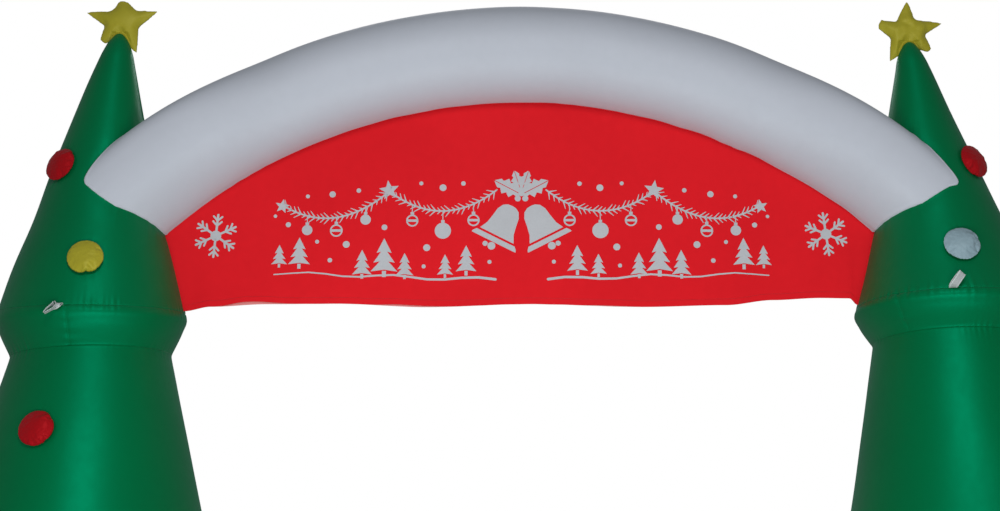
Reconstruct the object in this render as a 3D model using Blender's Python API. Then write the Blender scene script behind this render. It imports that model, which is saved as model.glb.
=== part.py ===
"""Inflatable Christmas arch: two tiered fir towers, a white arched air tube and a red banner.

Metres, +Z up. The origin is on the ground, midway between the two outer sides and the front and
back. The arch faces -Y. Every inflated chamber is a closed solid of its blown-up shape.
"""
import math

import bmesh
import bpy
from mathutils import Matrix, Vector

# Clearance between pieces that touch, and how much larger the shapes are that trim pieces to the
# towers and to the tube.
GAP = 0.0003
TOWER_MARGIN = 1.6 * GAP
TUBE_MARGIN = 1.1 * GAP

# Towers, from the tip down: each cone panel with a row per ring. The axis leans and bends where the
# arch pulls at it, and a ring may hang lower at its front, or at its outer side, than at its inner.
TOWERS = {
    "left": {
        "top_cone": (
            # height, axis x, radius, front drop, outer drop
            (2.928, -1.400, 0.012, 0.000, 0.000),
            (2.918, -1.401, 0.021, 0.000, 0.000),
            (2.900, -1.403, 0.034, 0.000, 0.000),
            (2.865, -1.406, 0.050, 0.000, 0.000),
            (2.800, -1.412, 0.070, 0.001, 0.000),
            (2.650, -1.424, 0.111, 0.004, 0.000),
            (2.450, -1.437, 0.164, 0.009, 0.000),
            (2.250, -1.445, 0.218, 0.014, 0.000),
            (2.080, -1.450, 0.273, 0.019, 0.000),
            (1.938, -1.454, 0.312, 0.022, 0.006),
        ),
        "middle_cone": (
            (1.797, -1.450, 0.265, 0.000, 0.022),
            (1.620, -1.452, 0.308, 0.000, 0.000),
            (1.270, -1.460, 0.395, 0.000, 0.000),
            (0.970, -1.475, 0.478, 0.000, 0.000),
        ),
        "bottom_cone": (
            (0.820, -1.485, 0.430, 0.000, 0.000),
            (0.470, -1.505, 0.515, 0.000, 0.000),
            (0.130, -1.520, 0.600, 0.000, 0.000),
        ),
    },
    "right": {
        "top_cone": (
            (2.898, 1.361, 0.012, 0.000, 0.000),
            (2.888, 1.362, 0.021, 0.000, 0.000),
            (2.868, 1.364, 0.034, 0.000, 0.000),
            (2.834, 1.367, 0.049, 0.000, 0.000),
            (2.800, 1.371, 0.059, 0.000, 0.000),
            (2.650, 1.386, 0.102, 0.000, 0.000),
            (2.450, 1.409, 0.161, 0.000, 0.000),
            (2.250, 1.434, 0.216, -0.006, 0.000),
            (2.080, 1.453, 0.274, -0.010, 0.000),
            (1.955, 1.470, 0.325, -0.014, 0.000),
        ),
        "middle_cone": (
            (1.833, 1.470, 0.272, -0.014, 0.000),
            (1.620, 1.485, 0.322, 0.000, 0.000),
            (1.270, 1.508, 0.407, 0.000, 0.000),
            (0.970, 1.518, 0.485, 0.000, 0.000),
        ),
        "bottom_cone": (
            (0.820, 1.519, 0.433, 0.000, 0.000),
            (0.470, 1.520, 0.515, 0.000, 0.000),
            (0.130, 1.520, 0.600, 0.000, 0.000),
        ),
    },
}
FOOT_RADIUS = 0.545
TOWER_SIDES = 40
# How the underside of a tier turns in from its ridge: share of the way down to the waist, and
# share of the way in.
TUCK_ROWS = ((0.0, 0.0), (0.16, -0.10), (0.40, 0.14), (1.0, 1.0))

# Arch tube: a circular arc. Its section is round at the crown. Towards the joints it grows deeper,
# squarer above, narrower below, and turns a little to the front.
ARCH_CENTRE_Z = 0.895
ARCH_RADIUS = 1.953
TUBE_RADIUS = 0.171
JOINTS = {
    "left": {"half_height": 0.166, "half_depth": 0.1995, "forward": 0.000, "roll": math.radians(3.0)},
    "right": {"half_height": 0.160, "half_depth": 0.194, "forward": 0.005, "roll": math.radians(2.0)},
}
JOINT_SQUARE_ABOVE = 4.0
JOINT_SQUARE_BELOW = 1.6
FLARE_START = math.radians(24.0)
FLARE_END = math.radians(38.5)
# The body's rings are plane. Beyond them the rows run out to the seam, which stands a little
# proud of the tower and turns in towards its axis.
BODY_END = math.radians(34.0)
JOINT_REACH = math.radians(50.0)
JOINT_PROUD = 0.002
JOINT_ROOT = 0.72
SEAM_HALVINGS = 24
BODY_STEPS = 30
JOINT_STEPS = 5
TUBE_SIDES = 40

# Banner: one hanging sheet from the underside of the tube to its hem, sewn to both towers.
SHEET_THICKNESS = 0.002
# The hem as it hangs: distance along the arch, height, and how far it stands to the front.
HEM_ROWS = (
    # x, z, y
    (-1.300, 1.943, 0.000),
    (-1.145, 1.944, 0.000),
    (-1.050, 1.958, -0.010),
    (-0.860, 1.966, -0.016),
    (-0.620, 1.969, -0.006),
    (-0.320, 1.960, 0.009),
    (0.030, 1.968, -0.004),
    (0.420, 1.957, -0.012),
    (0.700, 1.966, 0.004),
    (0.860, 1.984, 0.008),
    (1.020, 1.990, 0.000),
    (1.120, 1.988, -0.004),
    (1.146, 1.966, 0.000),
    (1.300, 1.964, 0.000),
)
BANNER_COLUMNS = 60
BANNER_ROWS = 7
BANNER_INTO_TUBE = 0.03
# Soft troughs that cross the banner: their depth, their spacing along it, and how far each one
# leans on its way down.
TROUGH_DEPTH = 0.004
TROUGH_SPACING = 0.83
TROUGH_LEAN = 0.30

# Stars and baubles are pillows: how blunt the crown is, and half the thickness at the sewn edge.
PILLOW_CROWN = 2.2
PILLOW_EDGE = 0.003

# Stars: a five-armed pillow on each tip, with a row for each arm and the notch after it. An arm's
# end has three corners, the outer two at a slightly shorter reach.
STAR_THICKNESS = 0.052
STAR_CORNER_REACH = 0.98
STARS = {
    "left": {
        "x": -1.400,
        "z": 2.968,
        "arms": (
            # arm's heading from straight up, reach, half angle of its end, notch's heading, reach
            (4.6, 0.084, 12.0, 46.9, 0.074),
            (71.5, 0.134, 2.0, 105.2, 0.070),
            (150.4, 0.123, 2.0, 184.0, 0.060),
            (223.0, 0.094, 9.0, 259.9, 0.063),
            (288.6, 0.128, 2.0, 325.1, 0.060),
        ),
    },
    "right": {
        "x": 1.364,
        "z": 2.935,
        "arms": (
            (-0.7, 0.112, 3.5, 29.4, 0.058),
            (73.4, 0.123, 2.0, 99.0, 0.064),
            (133.0, 0.099, 7.0, 173.0, 0.060),
            (213.3, 0.125, 2.0, 252.0, 0.072),
            (287.0, 0.108, 10.0, 316.1, 0.062),
        ),
    },
}
STAR_RINGS = 4

# Baubles: a round pillow sewn to a tower. The heading turns from straight ahead, -Y, to +X.
BAUBLE_RADIUS = 0.060
BAUBLE_THICKNESS = 0.046
BAUBLE_PROUD = 0.010
BAUBLE_SIDES = 24
BAUBLE_RINGS = 4
BAUBLES = (
    # name, tower, height, heading, cloth
    ("bauble_left_red_high", "left", 2.420, -40.0, "bauble_red"),
    ("bauble_left_yellow", "left", 2.075, 5.5, "yellow"),
    ("bauble_left_red_low", "left", 1.508, -14.5, "bauble_red"),
    ("bauble_right_red", "right", 2.436, 46.0, "bauble_red"),
    ("bauble_right_white", "right", 2.119, -1.5, "bauble_white"),
)

# Guy loops: a ribbon folded double, its ends sewn into the top ridge. It leaves the seam straight
# outwards and then leans over, and its width turns from the seam's line to wide_tip. The eye is
# the distance between the two runs, which close up to a quarter of it at the seam.
RIBBON_WIDTH = 0.025
RIBBON_THICKNESS = 0.0018
RIBBON_EYE = 0.015
RIBBON_CLOSE = 0.25
LOOP_CLEARANCE = 0.0008
LOOP_RISE = 0.001
LOOP_STAND_OUT = 0.026
LOOP_STEPS = 7
LOOPS = (
    {
        "name": "guy_loop_left",
        "tower": "left",
        "heading": -7.0,
        "length": 0.060,
        "lean": (-0.66, -0.50, -0.56),
        "wide_tip": (0.38, -0.87, 0.32),
    },
    {
        "name": "guy_loop_right",
        "tower": "right",
        "heading": -13.5,
        "length": 0.056,
        "lean": (0.50, -0.42, 0.76),
        "wide_tip": (-0.87, -0.24, 0.44),
    },
)

FINISHES = {
    "green": ((0.004, 0.150, 0.060), 0.42),
    "white": ((0.62, 0.66, 0.72), 0.45),
    "red": ((0.56, 0.010, 0.018), 0.50),
    "yellow": ((0.42, 0.36, 0.035), 0.45),
    "bauble_red": ((0.33, 0.008, 0.014), 0.45),
    "bauble_white": ((0.45, 0.52, 0.56), 0.45),
    "ribbon": ((0.62, 0.68, 0.68), 0.60),
}


def finish(name):
    """The named cloth as a material, made once."""
    found = bpy.data.materials.get(name)
    if found:
        return found
    colour, roughness = FINISHES[name]
    made = bpy.data.materials.new(name)
    made.use_nodes = True
    shader = made.node_tree.nodes["Principled BSDF"]
    shader.inputs["Base Color"].default_value = (*colour, 1.0)
    shader.inputs["Roughness"].default_value = roughness
    shader.inputs["Metallic"].default_value = 0.0
    return made


def add_object(name, shape, cloth):
    """Puts a bmesh into the scene as a named object, with its faces turned outwards."""
    bmesh.ops.recalc_face_normals(shape, faces=shape.faces)
    mesh = bpy.data.meshes.new(name)
    shape.to_mesh(mesh)
    shape.free()
    mesh.materials.append(finish(cloth))
    mesh.shade_smooth()
    mesh.set_sharp_from_angle(angle=math.radians(40.0))
    made = bpy.data.objects.new(name, mesh)
    bpy.context.scene.collection.objects.link(made)
    return made


def loft(name, rings, cloth):
    """A closed solid through rings of equally many points, each end fanned to its middle."""
    shape = bmesh.new()
    loops = [[shape.verts.new(point) for point in ring] for ring in rings]
    sides = len(rings[0])
    for lower, upper in zip(loops, loops[1:]):
        for i in range(sides):
            j = (i + 1) % sides
            shape.faces.new((lower[i], lower[j], upper[j], upper[i]))
    for loop in (loops[0], loops[-1]):
        middle = shape.verts.new(sum((vertex.co for vertex in loop), Vector()) / sides)
        for i in range(sides):
            shape.faces.new((loop[i], loop[(i + 1) % sides], middle))
    return add_object(name, shape, cloth)


def cut(piece, cutter):
    """Takes the cutter's solid out of the piece."""
    cutter.hide_render = True
    cutter.display_type = "WIRE"
    modifier = piece.modifiers.new("Clearance", "BOOLEAN")
    modifier.operation = "DIFFERENCE"
    modifier.solver = "EXACT"
    modifier.object = cutter


def tuck_rows(ridge, waist):
    """The rows down the rounded underside of a tier, from its ridge's row to its waist's."""
    rows = []
    for down, inwards in TUCK_ROWS:
        row = [top + (bottom - top) * down for top, bottom in zip(ridge, waist)]
        row[2] = ridge[2] + (waist[2] - ridge[2]) * inwards
        rows.append(tuple(row))
    return rows


def tower_panels(tower):
    """The panels of a tower, from its tip down, each with its rows."""
    cones = TOWERS[tower]
    foot_ridge = cones["bottom_cone"][-1]
    floor = (0.0, foot_ridge[1], FOOT_RADIUS, 0.0, 0.0)
    return (
        ("top_cone", cones["top_cone"]),
        ("top_tuck", tuck_rows(cones["top_cone"][-1], cones["middle_cone"][0])),
        ("middle_cone", cones["middle_cone"]),
        ("middle_tuck", tuck_rows(cones["middle_cone"][-1], cones["bottom_cone"][0])),
        ("bottom_cone", cones["bottom_cone"]),
        ("foot", tuck_rows(foot_ridge, floor)),
    )


def tower_ring(row, lift=0.0, grow=0.0):
    """The ring of a row, lifted and grown by a clearance."""
    z, x, radius, front_drop, outer_drop = row
    outer = math.copysign(1.0, x)
    reach = radius + grow
    ring = []
    for i in range(TOWER_SIDES):
        across = math.cos(2 * math.pi * (i + 0.5) / TOWER_SIDES)
        back = math.sin(2 * math.pi * (i + 0.5) / TOWER_SIDES)
        height = z + lift + front_drop * back - outer_drop * (1 + outer * across) / 2
        ring.append(Vector((x + reach * across, reach * back, height)))
    return ring


def build_tower(tower):
    """Each panel's chamber, stacked a hair apart at the seams."""
    for panel, rows in tower_panels(tower):
        lift = 0.0 if panel == "top_cone" else -GAP
        rings = [tower_ring(rows[0], lift)] + [tower_ring(row) for row in rows[1:]]
        loft(f"{tower}_{panel}", rings, "green")


def tower_cutter(tower):
    """The whole tower, a hair larger all round."""
    rows = []
    for _, panel in tower_panels(tower):
        rows += [row for row in panel if row not in rows]
    rings = [tower_ring(row, 0.0, TOWER_MARGIN) for row in rows[1:]]
    return loft(f"{tower}_clearance", [tower_ring(rows[0], GAP, TOWER_MARGIN)] + rings, "green")


def tower_side(tower, z, x, y):
    """(axis, radius, slope) of a tower's side at a height, on the bearing of a point."""
    outer = -1.0 if tower == "left" else 1.0
    middle = TOWERS[tower]["top_cone"][-1][1]
    away = math.hypot(x - middle, y)
    across, back = (x - middle) / away, y / away
    rows = [
        (row[0] + row[3] * back - row[4] * (1 + outer * across) / 2, row[1], row[2])
        for _, panel in tower_panels(tower)
        for row in panel
    ]
    for upper, lower in zip(rows, rows[1:]):
        if lower[0] <= z <= upper[0] and upper[0] > lower[0]:
            share = (upper[0] - z) / (upper[0] - lower[0])
            axis = upper[1] + (lower[1] - upper[1]) * share
            radius = upper[2] + (lower[2] - upper[2]) * share
            return axis, radius, (lower[2] - upper[2]) / (upper[0] - lower[0])
    return rows[0][1], 0.0, 0.0


def smooth_share(value, start, end):
    """0 before start, 1 after end, and smooth between."""
    share = min(1.0, max(0.0, (value - start) / (end - start)))
    return share * share * (3 - 2 * share)


def tube_point(angle, turn, grow):
    """A point of the tube: its angle from the arch's crown, and its turn round the section."""
    flare = smooth_share(abs(angle), FLARE_START, FLARE_END)
    joint = JOINTS["left" if angle < 0 else "right"]
    height = TUBE_RADIUS + (joint["half_height"] - TUBE_RADIUS) * flare + grow
    depth = TUBE_RADIUS + (joint["half_depth"] - TUBE_RADIUS) * flare + grow
    up, front = math.cos(turn), math.sin(turn)
    square = 2.0 + ((JOINT_SQUARE_ABOVE if up > 0 else JOINT_SQUARE_BELOW) - 2.0) * flare
    up = math.copysign(abs(up) ** (2 / square), up) * height
    front = math.copysign(abs(front) ** (2 / square), front) * depth
    roll = joint["roll"] * flare
    rise = ARCH_RADIUS + up * math.cos(roll) + front * math.sin(roll)
    forward = front * math.cos(roll) - up * math.sin(roll) + joint["forward"] * flare
    return Vector((rise * math.sin(angle), -forward, ARCH_CENTRE_Z + rise * math.cos(angle)))


def proud_of_tower(point, tower):
    """(clearance from the tower's side, the axis at that height)."""
    axis, radius = tower_side(tower, point.z, point.x, point.y)[:2]
    return math.hypot(point.x - axis, point.y) - radius, Vector((axis, 0.0, point.z))


def joint_angle(tower, turn):
    """Where the line along the tube at a turn comes down to the tower."""
    outer = -1.0 if tower == "left" else 1.0
    near, far = BODY_END, JOINT_REACH
    for _ in range(SEAM_HALVINGS):
        middle = (near + far) / 2
        if proud_of_tower(tube_point(outer * middle, turn, 0.0), tower)[0] > JOINT_PROUD:
            near = middle
        else:
            far = middle
    return outer * near


def joint_rings(tower, grow):
    """Rings from the last plane one to the seam, and one more inside the tower."""
    outer = -1.0 if tower == "left" else 1.0
    turns = [2 * math.pi * i / TUBE_SIDES for i in range(TUBE_SIDES)]
    ends = [joint_angle(tower, turn) for turn in turns]
    rings = []
    for step in range(1, JOINT_STEPS + 1):
        share = step / JOINT_STEPS
        angles = [outer * BODY_END + (end - outer * BODY_END) * share for end in ends]
        rings.append([tube_point(angle, turn, grow) for angle, turn in zip(angles, turns)])
    root = []
    for point in rings[-1]:
        axis = proud_of_tower(point, tower)[1]
        root.append(axis.lerp(point, JOINT_ROOT))
    return rings + [root]


def tube_solid(name, grow=0.0):
    """The whole tube, from the ring inside one tower to the ring inside the other."""
    turns = [2 * math.pi * i / TUBE_SIDES for i in range(TUBE_SIDES)]
    body = [BODY_END * (2 * i / BODY_STEPS - 1) for i in range(BODY_STEPS + 1)]
    rings = [[tube_point(angle, turn, grow) for turn in turns] for angle in body]
    return loft(name, joint_rings("left", grow)[::-1] + rings + joint_rings("right", grow), "white")


def along_rows(rows, x, column):
    """A column of a table at x, smooth between its rows."""
    for lower, upper in zip(rows, rows[1:]):
        if x <= upper[0]:
            share = smooth_share(x, lower[0], upper[0])
            return lower[column] + (upper[column] - lower[column]) * share
    return rows[-1][column]


def banner_solid():
    """The sheet, reaching into the tube and the towers that then trim it."""
    first, last = HEM_ROWS[0][0], HEM_ROWS[-1][0]
    stations = sorted(
        {first + (last - first) * i / BANNER_COLUMNS for i in range(BANNER_COLUMNS + 1)}
        | {row[0] for row in HEM_ROWS[1:-1]}
    )
    shape = bmesh.new()
    faces = {}
    for side in (-1, 1):
        grid = []
        for x in stations:
            hem_z = along_rows(HEM_ROWS, x, 1)
            hem_y = along_rows(HEM_ROWS, x, 2)
            top_z = ARCH_CENTRE_Z + math.sqrt((ARCH_RADIUS - TUBE_RADIUS + BANNER_INTO_TUBE) ** 2 - x * x)
            column = []
            for j in range(BANNER_ROWS + 1):
                down = 1 - j / BANNER_ROWS
                along = x + TROUGH_LEAN * down
                trough = TROUGH_DEPTH * math.sin(2 * math.pi * along / TROUGH_SPACING)
                y = hem_y * down**2 + trough * math.sin(math.pi * down) + side * SHEET_THICKNESS / 2
                column.append(shape.verts.new((x, y, hem_z + (top_z - hem_z) * (1 - down))))
            grid.append(column)
        faces[side] = grid
        for left, right in zip(grid, grid[1:]):
            for j in range(BANNER_ROWS):
                shape.faces.new((left[j], right[j], right[j + 1], left[j + 1]))
    front, back = faces[-1], faces[1]
    for i in range(len(stations) - 1):
        for j in (0, BANNER_ROWS):
            shape.faces.new((front[i][j], front[i + 1][j], back[i + 1][j], back[i][j]))
    for i in (0, len(stations) - 1):
        for j in range(BANNER_ROWS):
            shape.faces.new((front[i][j], front[i][j + 1], back[i][j + 1], back[i][j]))
    return add_object("banner", shape, "red")


def star_outline(arms):
    """Points round a star, clockwise from its top arm, as (across, up)."""
    corners = []
    for heading, reach, half_angle, notch_heading, notch_reach in arms:
        corners.append((heading - half_angle, reach * STAR_CORNER_REACH))
        corners.append((heading, reach))
        corners.append((heading + half_angle, reach * STAR_CORNER_REACH))
        corners.append((notch_heading, notch_reach))
    flat = [(r * math.sin(math.radians(h)), r * math.cos(math.radians(h))) for h, r in corners]
    outline = []
    for i, (here, after) in enumerate(zip(flat, flat[1:] + flat[:1])):
        outline.append(here)
        if i % 4 in (2, 3):
            outline.append(((here[0] + after[0]) / 2, (here[1] + after[1]) / 2))
    return outline


def pillow(name, outline, rings, thickness, place, cloth):
    """A two-faced pillow over an outline, its crown towards both sides, set in place."""
    shape = bmesh.new()
    loops = []
    for side in (-1, 1):
        middle = shape.verts.new(place @ Vector((0.0, side * thickness / 2, 0.0)))
        previous = None
        for k in range(1, rings + 1):
            share = k / rings
            crown = PILLOW_EDGE + (thickness / 2 - PILLOW_EDGE) * math.sqrt(1 - share**PILLOW_CROWN)
            points = [place @ Vector((x * share, side * crown, z * share)) for x, z in outline]
            loop = [shape.verts.new(point) for point in points]
            for i in range(len(loop)):
                j = (i + 1) % len(loop)
                inner = (middle,) if previous is None else (previous[j], previous[i])
                shape.faces.new((loop[i], loop[j], *inner))
            previous = loop
        loops.append(previous)
    front, back = loops
    for i in range(len(front)):
        j = (i + 1) % len(front)
        shape.faces.new((front[i], front[j], back[j], back[i]))
    return add_object(name, shape, cloth)


def surface_frame(tower, z, heading):
    """A matrix at a point of a tower's side: +Y points out of it, +Z up its slope."""
    turn = math.radians(heading)
    outwards = Vector((math.sin(turn), -math.cos(turn), 0.0))
    middle = TOWERS[tower]["top_cone"][-1][1]
    axis, radius, slope = tower_side(tower, z, middle + outwards.x, outwards.y)
    normal = (outwards + Vector((0.0, 0.0, slope))).normalized()
    across = Vector((0.0, 0.0, 1.0)).cross(outwards).normalized()
    up = across.cross(normal)
    point = Vector((axis, 0.0, z)) + outwards * radius
    frame = Matrix((across, normal, up)).transposed().to_4x4()
    return Matrix.Translation(point) @ frame


def build_bauble(name, tower, z, heading, cloth):
    """A round pillow whose back lies against the tower."""
    turns = [2 * math.pi * i / BAUBLE_SIDES for i in range(BAUBLE_SIDES)]
    outline = [(BAUBLE_RADIUS * math.sin(turn), BAUBLE_RADIUS * math.cos(turn)) for turn in turns]
    place = surface_frame(tower, z, heading) @ Matrix.Translation(Vector((0.0, BAUBLE_PROUD, 0.0)))
    return pillow(name, outline, BAUBLE_RINGS, BAUBLE_THICKNESS, place, cloth)


def build_star(tower):
    """An upright star on a tower's tip."""
    spec = STARS[tower]
    place = Matrix.Translation(Vector((spec["x"], 0.0, spec["z"])))
    outline = star_outline(spec["arms"])
    return pillow(f"{tower}_star", outline, STAR_RINGS, STAR_THICKNESS, place, "yellow")


def build_loop(spec):
    """A ribbon that comes straight out of the seam, droops, turns round and comes back."""
    ridge = TOWERS[spec["tower"]]["top_cone"][-1]
    ridge_z = ridge[0] - ridge[3] * math.cos(math.radians(spec["heading"])) - ridge[4] / 2
    seam = surface_frame(spec["tower"], ridge_z + LOOP_RISE, spec["heading"])
    outwards = Vector((seam.col[1].x, seam.col[1].y, 0.0)).normalized()
    root = seam.translation + outwards * LOOP_CLEARANCE
    bend = outwards * LOOP_STAND_OUT
    lean = Vector(spec["lean"]).normalized() * spec["length"]
    wide_root, wide_tip = Vector((outwards.y, -outwards.x, 0.0)), Vector(spec["wide_tip"])
    stations = []
    for i in range(2 * LOOP_STEPS + 1):
        turn = math.pi * i / (2 * LOOP_STEPS)
        share = math.sin(turn)
        middle = root + 2 * share * (1 - share) * bend + share**2 * lean
        forward = ((1 - 2 * share) * bend + share * lean).normalized()
        wide = wide_root.lerp(wide_tip, smooth_share(share, 0.1, 0.7))
        across = forward.cross(wide).normalized()
        belly = RIBBON_CLOSE + (1 - RIBBON_CLOSE) * smooth_share(share, 0.0, 0.6)
        aside = across * RIBBON_EYE / 2 * math.cos(turn) * belly
        stations.append((middle + aside, across.cross(forward)))
    return ribbon_solid(spec["name"], stations)


def ribbon_solid(name, stations):
    """Sweeps the ribbon's rectangle through (point, wide) stations."""
    rings = []
    for i, (point, wide) in enumerate(stations):
        before = stations[max(0, i - 1)][0]
        after = stations[min(len(stations) - 1, i + 1)][0]
        forward = (after - before).normalized()
        normal = forward.cross(wide).normalized()
        half_wide = wide * RIBBON_WIDTH / 2
        half_thick = normal * RIBBON_THICKNESS / 2
        corners = ((-1, -1), (1, -1), (1, 1), (-1, 1))
        rings.append([point + half_wide * u + half_thick * v for u, v in corners])
    return loft(name, rings, "ribbon")


def main():
    """Builds every piece and trims those that meet a tower or the tube."""
    for old in list(bpy.data.objects):
        bpy.data.objects.remove(old)
    cutters = {}
    for tower in TOWERS:
        build_tower(tower)
        cutters[tower] = tower_cutter(tower)
    tube = tube_solid("arch_tube")
    tube_clearance = tube_solid("tube_clearance", TUBE_MARGIN)
    banner = banner_solid()
    for cutter in cutters.values():
        cut(tube, cutter)
        cut(banner, cutter)
    cut(banner, tube_clearance)
    for tower in TOWERS:
        cut(build_star(tower), cutters[tower])
    for spec in BAUBLES:
        cut(build_bauble(*spec), cutters[spec[1]])
    for spec in LOOPS:
        build_loop(spec)


main()
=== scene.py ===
"""Looks of the inflatable Christmas arch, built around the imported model.

Metres, +Z up, the arch faces -Y. Every inflated chamber gets a fine taffeta skin on the shape of
its solid, with seams, puckers and dents; stars and baubles are inflated by a cloth simulation.
"""
import math

import bmesh
import bpy
import numpy as np
from mathutils import Matrix, Vector
from mathutils.geometry import delaunay_2d_cdt
from mathutils.kdtree import KDTree


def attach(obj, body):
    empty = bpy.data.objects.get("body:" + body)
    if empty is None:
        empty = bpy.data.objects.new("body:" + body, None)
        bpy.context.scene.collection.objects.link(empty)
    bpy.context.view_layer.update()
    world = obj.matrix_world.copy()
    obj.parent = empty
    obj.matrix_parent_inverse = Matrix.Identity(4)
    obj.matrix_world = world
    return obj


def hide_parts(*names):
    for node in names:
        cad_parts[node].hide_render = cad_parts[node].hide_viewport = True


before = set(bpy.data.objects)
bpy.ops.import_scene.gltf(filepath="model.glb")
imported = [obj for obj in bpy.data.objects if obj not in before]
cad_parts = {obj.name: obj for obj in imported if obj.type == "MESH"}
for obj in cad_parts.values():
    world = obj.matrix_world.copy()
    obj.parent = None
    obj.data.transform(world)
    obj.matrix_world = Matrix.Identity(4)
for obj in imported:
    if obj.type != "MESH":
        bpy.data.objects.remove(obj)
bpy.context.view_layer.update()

BODY = "root"
TAU = 2 * math.pi

# The towers' cone panels from the tip down, as in the solids.
TOWERS = {
    "left": {
        "top_cone": (
            # height, axis x, radius, front drop, outer drop
            (2.928, -1.400, 0.012, 0.000, 0.000),
            (2.918, -1.401, 0.021, 0.000, 0.000),
            (2.900, -1.403, 0.034, 0.000, 0.000),
            (2.865, -1.406, 0.050, 0.000, 0.000),
            (2.800, -1.412, 0.070, 0.001, 0.000),
            (2.650, -1.424, 0.111, 0.004, 0.000),
            (2.450, -1.437, 0.164, 0.009, 0.000),
            (2.250, -1.445, 0.218, 0.014, 0.000),
            (2.080, -1.450, 0.273, 0.019, 0.000),
            (1.938, -1.454, 0.312, 0.022, 0.006),
        ),
        "middle_cone": (
            (1.797, -1.450, 0.265, 0.000, 0.022),
            (1.620, -1.452, 0.308, 0.000, 0.000),
            (1.270, -1.460, 0.395, 0.000, 0.000),
            (0.970, -1.475, 0.478, 0.000, 0.000),
        ),
        "bottom_cone": (
            (0.820, -1.485, 0.430, 0.000, 0.000),
            (0.470, -1.505, 0.515, 0.000, 0.000),
            (0.130, -1.520, 0.600, 0.000, 0.000),
        ),
    },
    "right": {
        "top_cone": (
            (2.898, 1.361, 0.012, 0.000, 0.000),
            (2.888, 1.362, 0.021, 0.000, 0.000),
            (2.868, 1.364, 0.034, 0.000, 0.000),
            (2.834, 1.367, 0.049, 0.000, 0.000),
            (2.800, 1.371, 0.059, 0.000, 0.000),
            (2.650, 1.386, 0.102, 0.000, 0.000),
            (2.450, 1.409, 0.161, 0.000, 0.000),
            (2.250, 1.434, 0.216, -0.006, 0.000),
            (2.080, 1.453, 0.274, -0.010, 0.000),
            (1.955, 1.470, 0.325, -0.014, 0.000),
        ),
        "middle_cone": (
            (1.833, 1.470, 0.272, -0.014, 0.000),
            (1.620, 1.485, 0.322, 0.000, 0.000),
            (1.270, 1.508, 0.407, 0.000, 0.000),
            (0.970, 1.518, 0.485, 0.000, 0.000),
        ),
        "bottom_cone": (
            (0.820, 1.519, 0.433, 0.000, 0.000),
            (0.470, 1.520, 0.515, 0.000, 0.000),
            (0.130, 1.520, 0.600, 0.000, 0.000),
        ),
    },
}
FOOT_RADIUS = 0.545
# How the underside of a tier turns in: share of the way down, share of the way in.
TUCK_ROWS = ((0.0, 0.0), (0.16, -0.10), (0.40, 0.14), (1.0, 1.0))
# Headings, in degrees from straight ahead to +X, where each panel's ends are sewn together.
CLOSING_SEAMS = {
    # top cone, top tuck, middle cone, middle tuck, bottom cone, foot
    "left": (172, -3, 168, 176, 171, 178),
    "right": (186, -46, 190, 184, 188, 181),
}
# How each panel ends, above and below, in the same order.
PANEL_ENDS = (
    ("tip", "ridge"),
    ("ridge", "waist"),
    ("waist", "ridge"),
    ("ridge", "waist"),
    ("waist", "ridge"),
    ("ridge", "floor"),
)
SEAM_LOOKS = {
    # end: groove depth (less than 0 stands out as a welt), pucker height
    "tip": (0.0, 0.0),
    "ridge": (0.0008, 0.0064),
    "waist": (-0.0014, 0.0026),
    "floor": (0.0, 0.0),
}
GROOVE_WIDTH = 0.0045
PUCKER_SPACING = 0.024
CLOSING_DEPTH = 0.0012
CLOSING_REACH = 0.02
CLOSING_GATHER = 0.043
SWELL_HEIGHT = 0.0016
SWELL_FREE = 0.12
TOWER_SEEDS = {"left": 100, "right": 200}
SKIN_SIDES = 360
SKIN_SPACING = {"seam": 0.004, "open": 0.020}
SEAM_REACH = 0.060
SEAM_ALLOWANCE = 0.012

# Arch tube, as in the solid.
ARCH_CENTRE_Z = 0.895
ARCH_RADIUS = 1.953
TUBE_RADIUS = 0.171
JOINTS = {
    "left": {"half_height": 0.166, "half_depth": 0.1995, "forward": 0.000, "roll": math.radians(3.0)},
    "right": {"half_height": 0.160, "half_depth": 0.194, "forward": 0.005, "roll": math.radians(2.0)},
}
JOINT_SQUARE_ABOVE = 4.0
JOINT_SQUARE_BELOW = 1.6
FLARE_START = math.radians(24.0)
FLARE_END = math.radians(38.5)
BODY_END = math.radians(34.0)
JOINT_REACH = math.radians(50.0)
JOINT_PROUD = 0.002
# Turns over which the joint's section is averaged, so that no edge runs along its front.
SECTION_ROUNDING = tuple(math.radians(step) for step in (-18, -12, -6, 0, 6, 12, 18))
TUBE_SIDES = 144
TUBE_BODY_STEPS = 150
TUBE_JOINT_STEPS = 26
TUBE_SEAM_TURN = math.radians(285)
TUBE_PUCKERS = (
    # beside, height, count, seed, calm, reach
    ("banner", 0.0030, 12, 41, 0.1, 0.060),
    ("banner", 0.0013, 44, 43, 0.3, 0.022),
    ("seam", 0.0012, 30, 47, 0.3, 0.020),
    ("left", 0.0020, 26, 51, 0.2, 0.026),
    ("right", 0.0020, 26, 53, 0.2, 0.026),
)
TUBE_GROOVES = (
    # beside, depth, width
    ("banner", 0.0030, 0.005),
    ("seam", 0.0016, 0.004),
)
JOINT_WELT_HEIGHT = 0.0016
JOINT_WELT_WIDTH = 0.005

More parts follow.
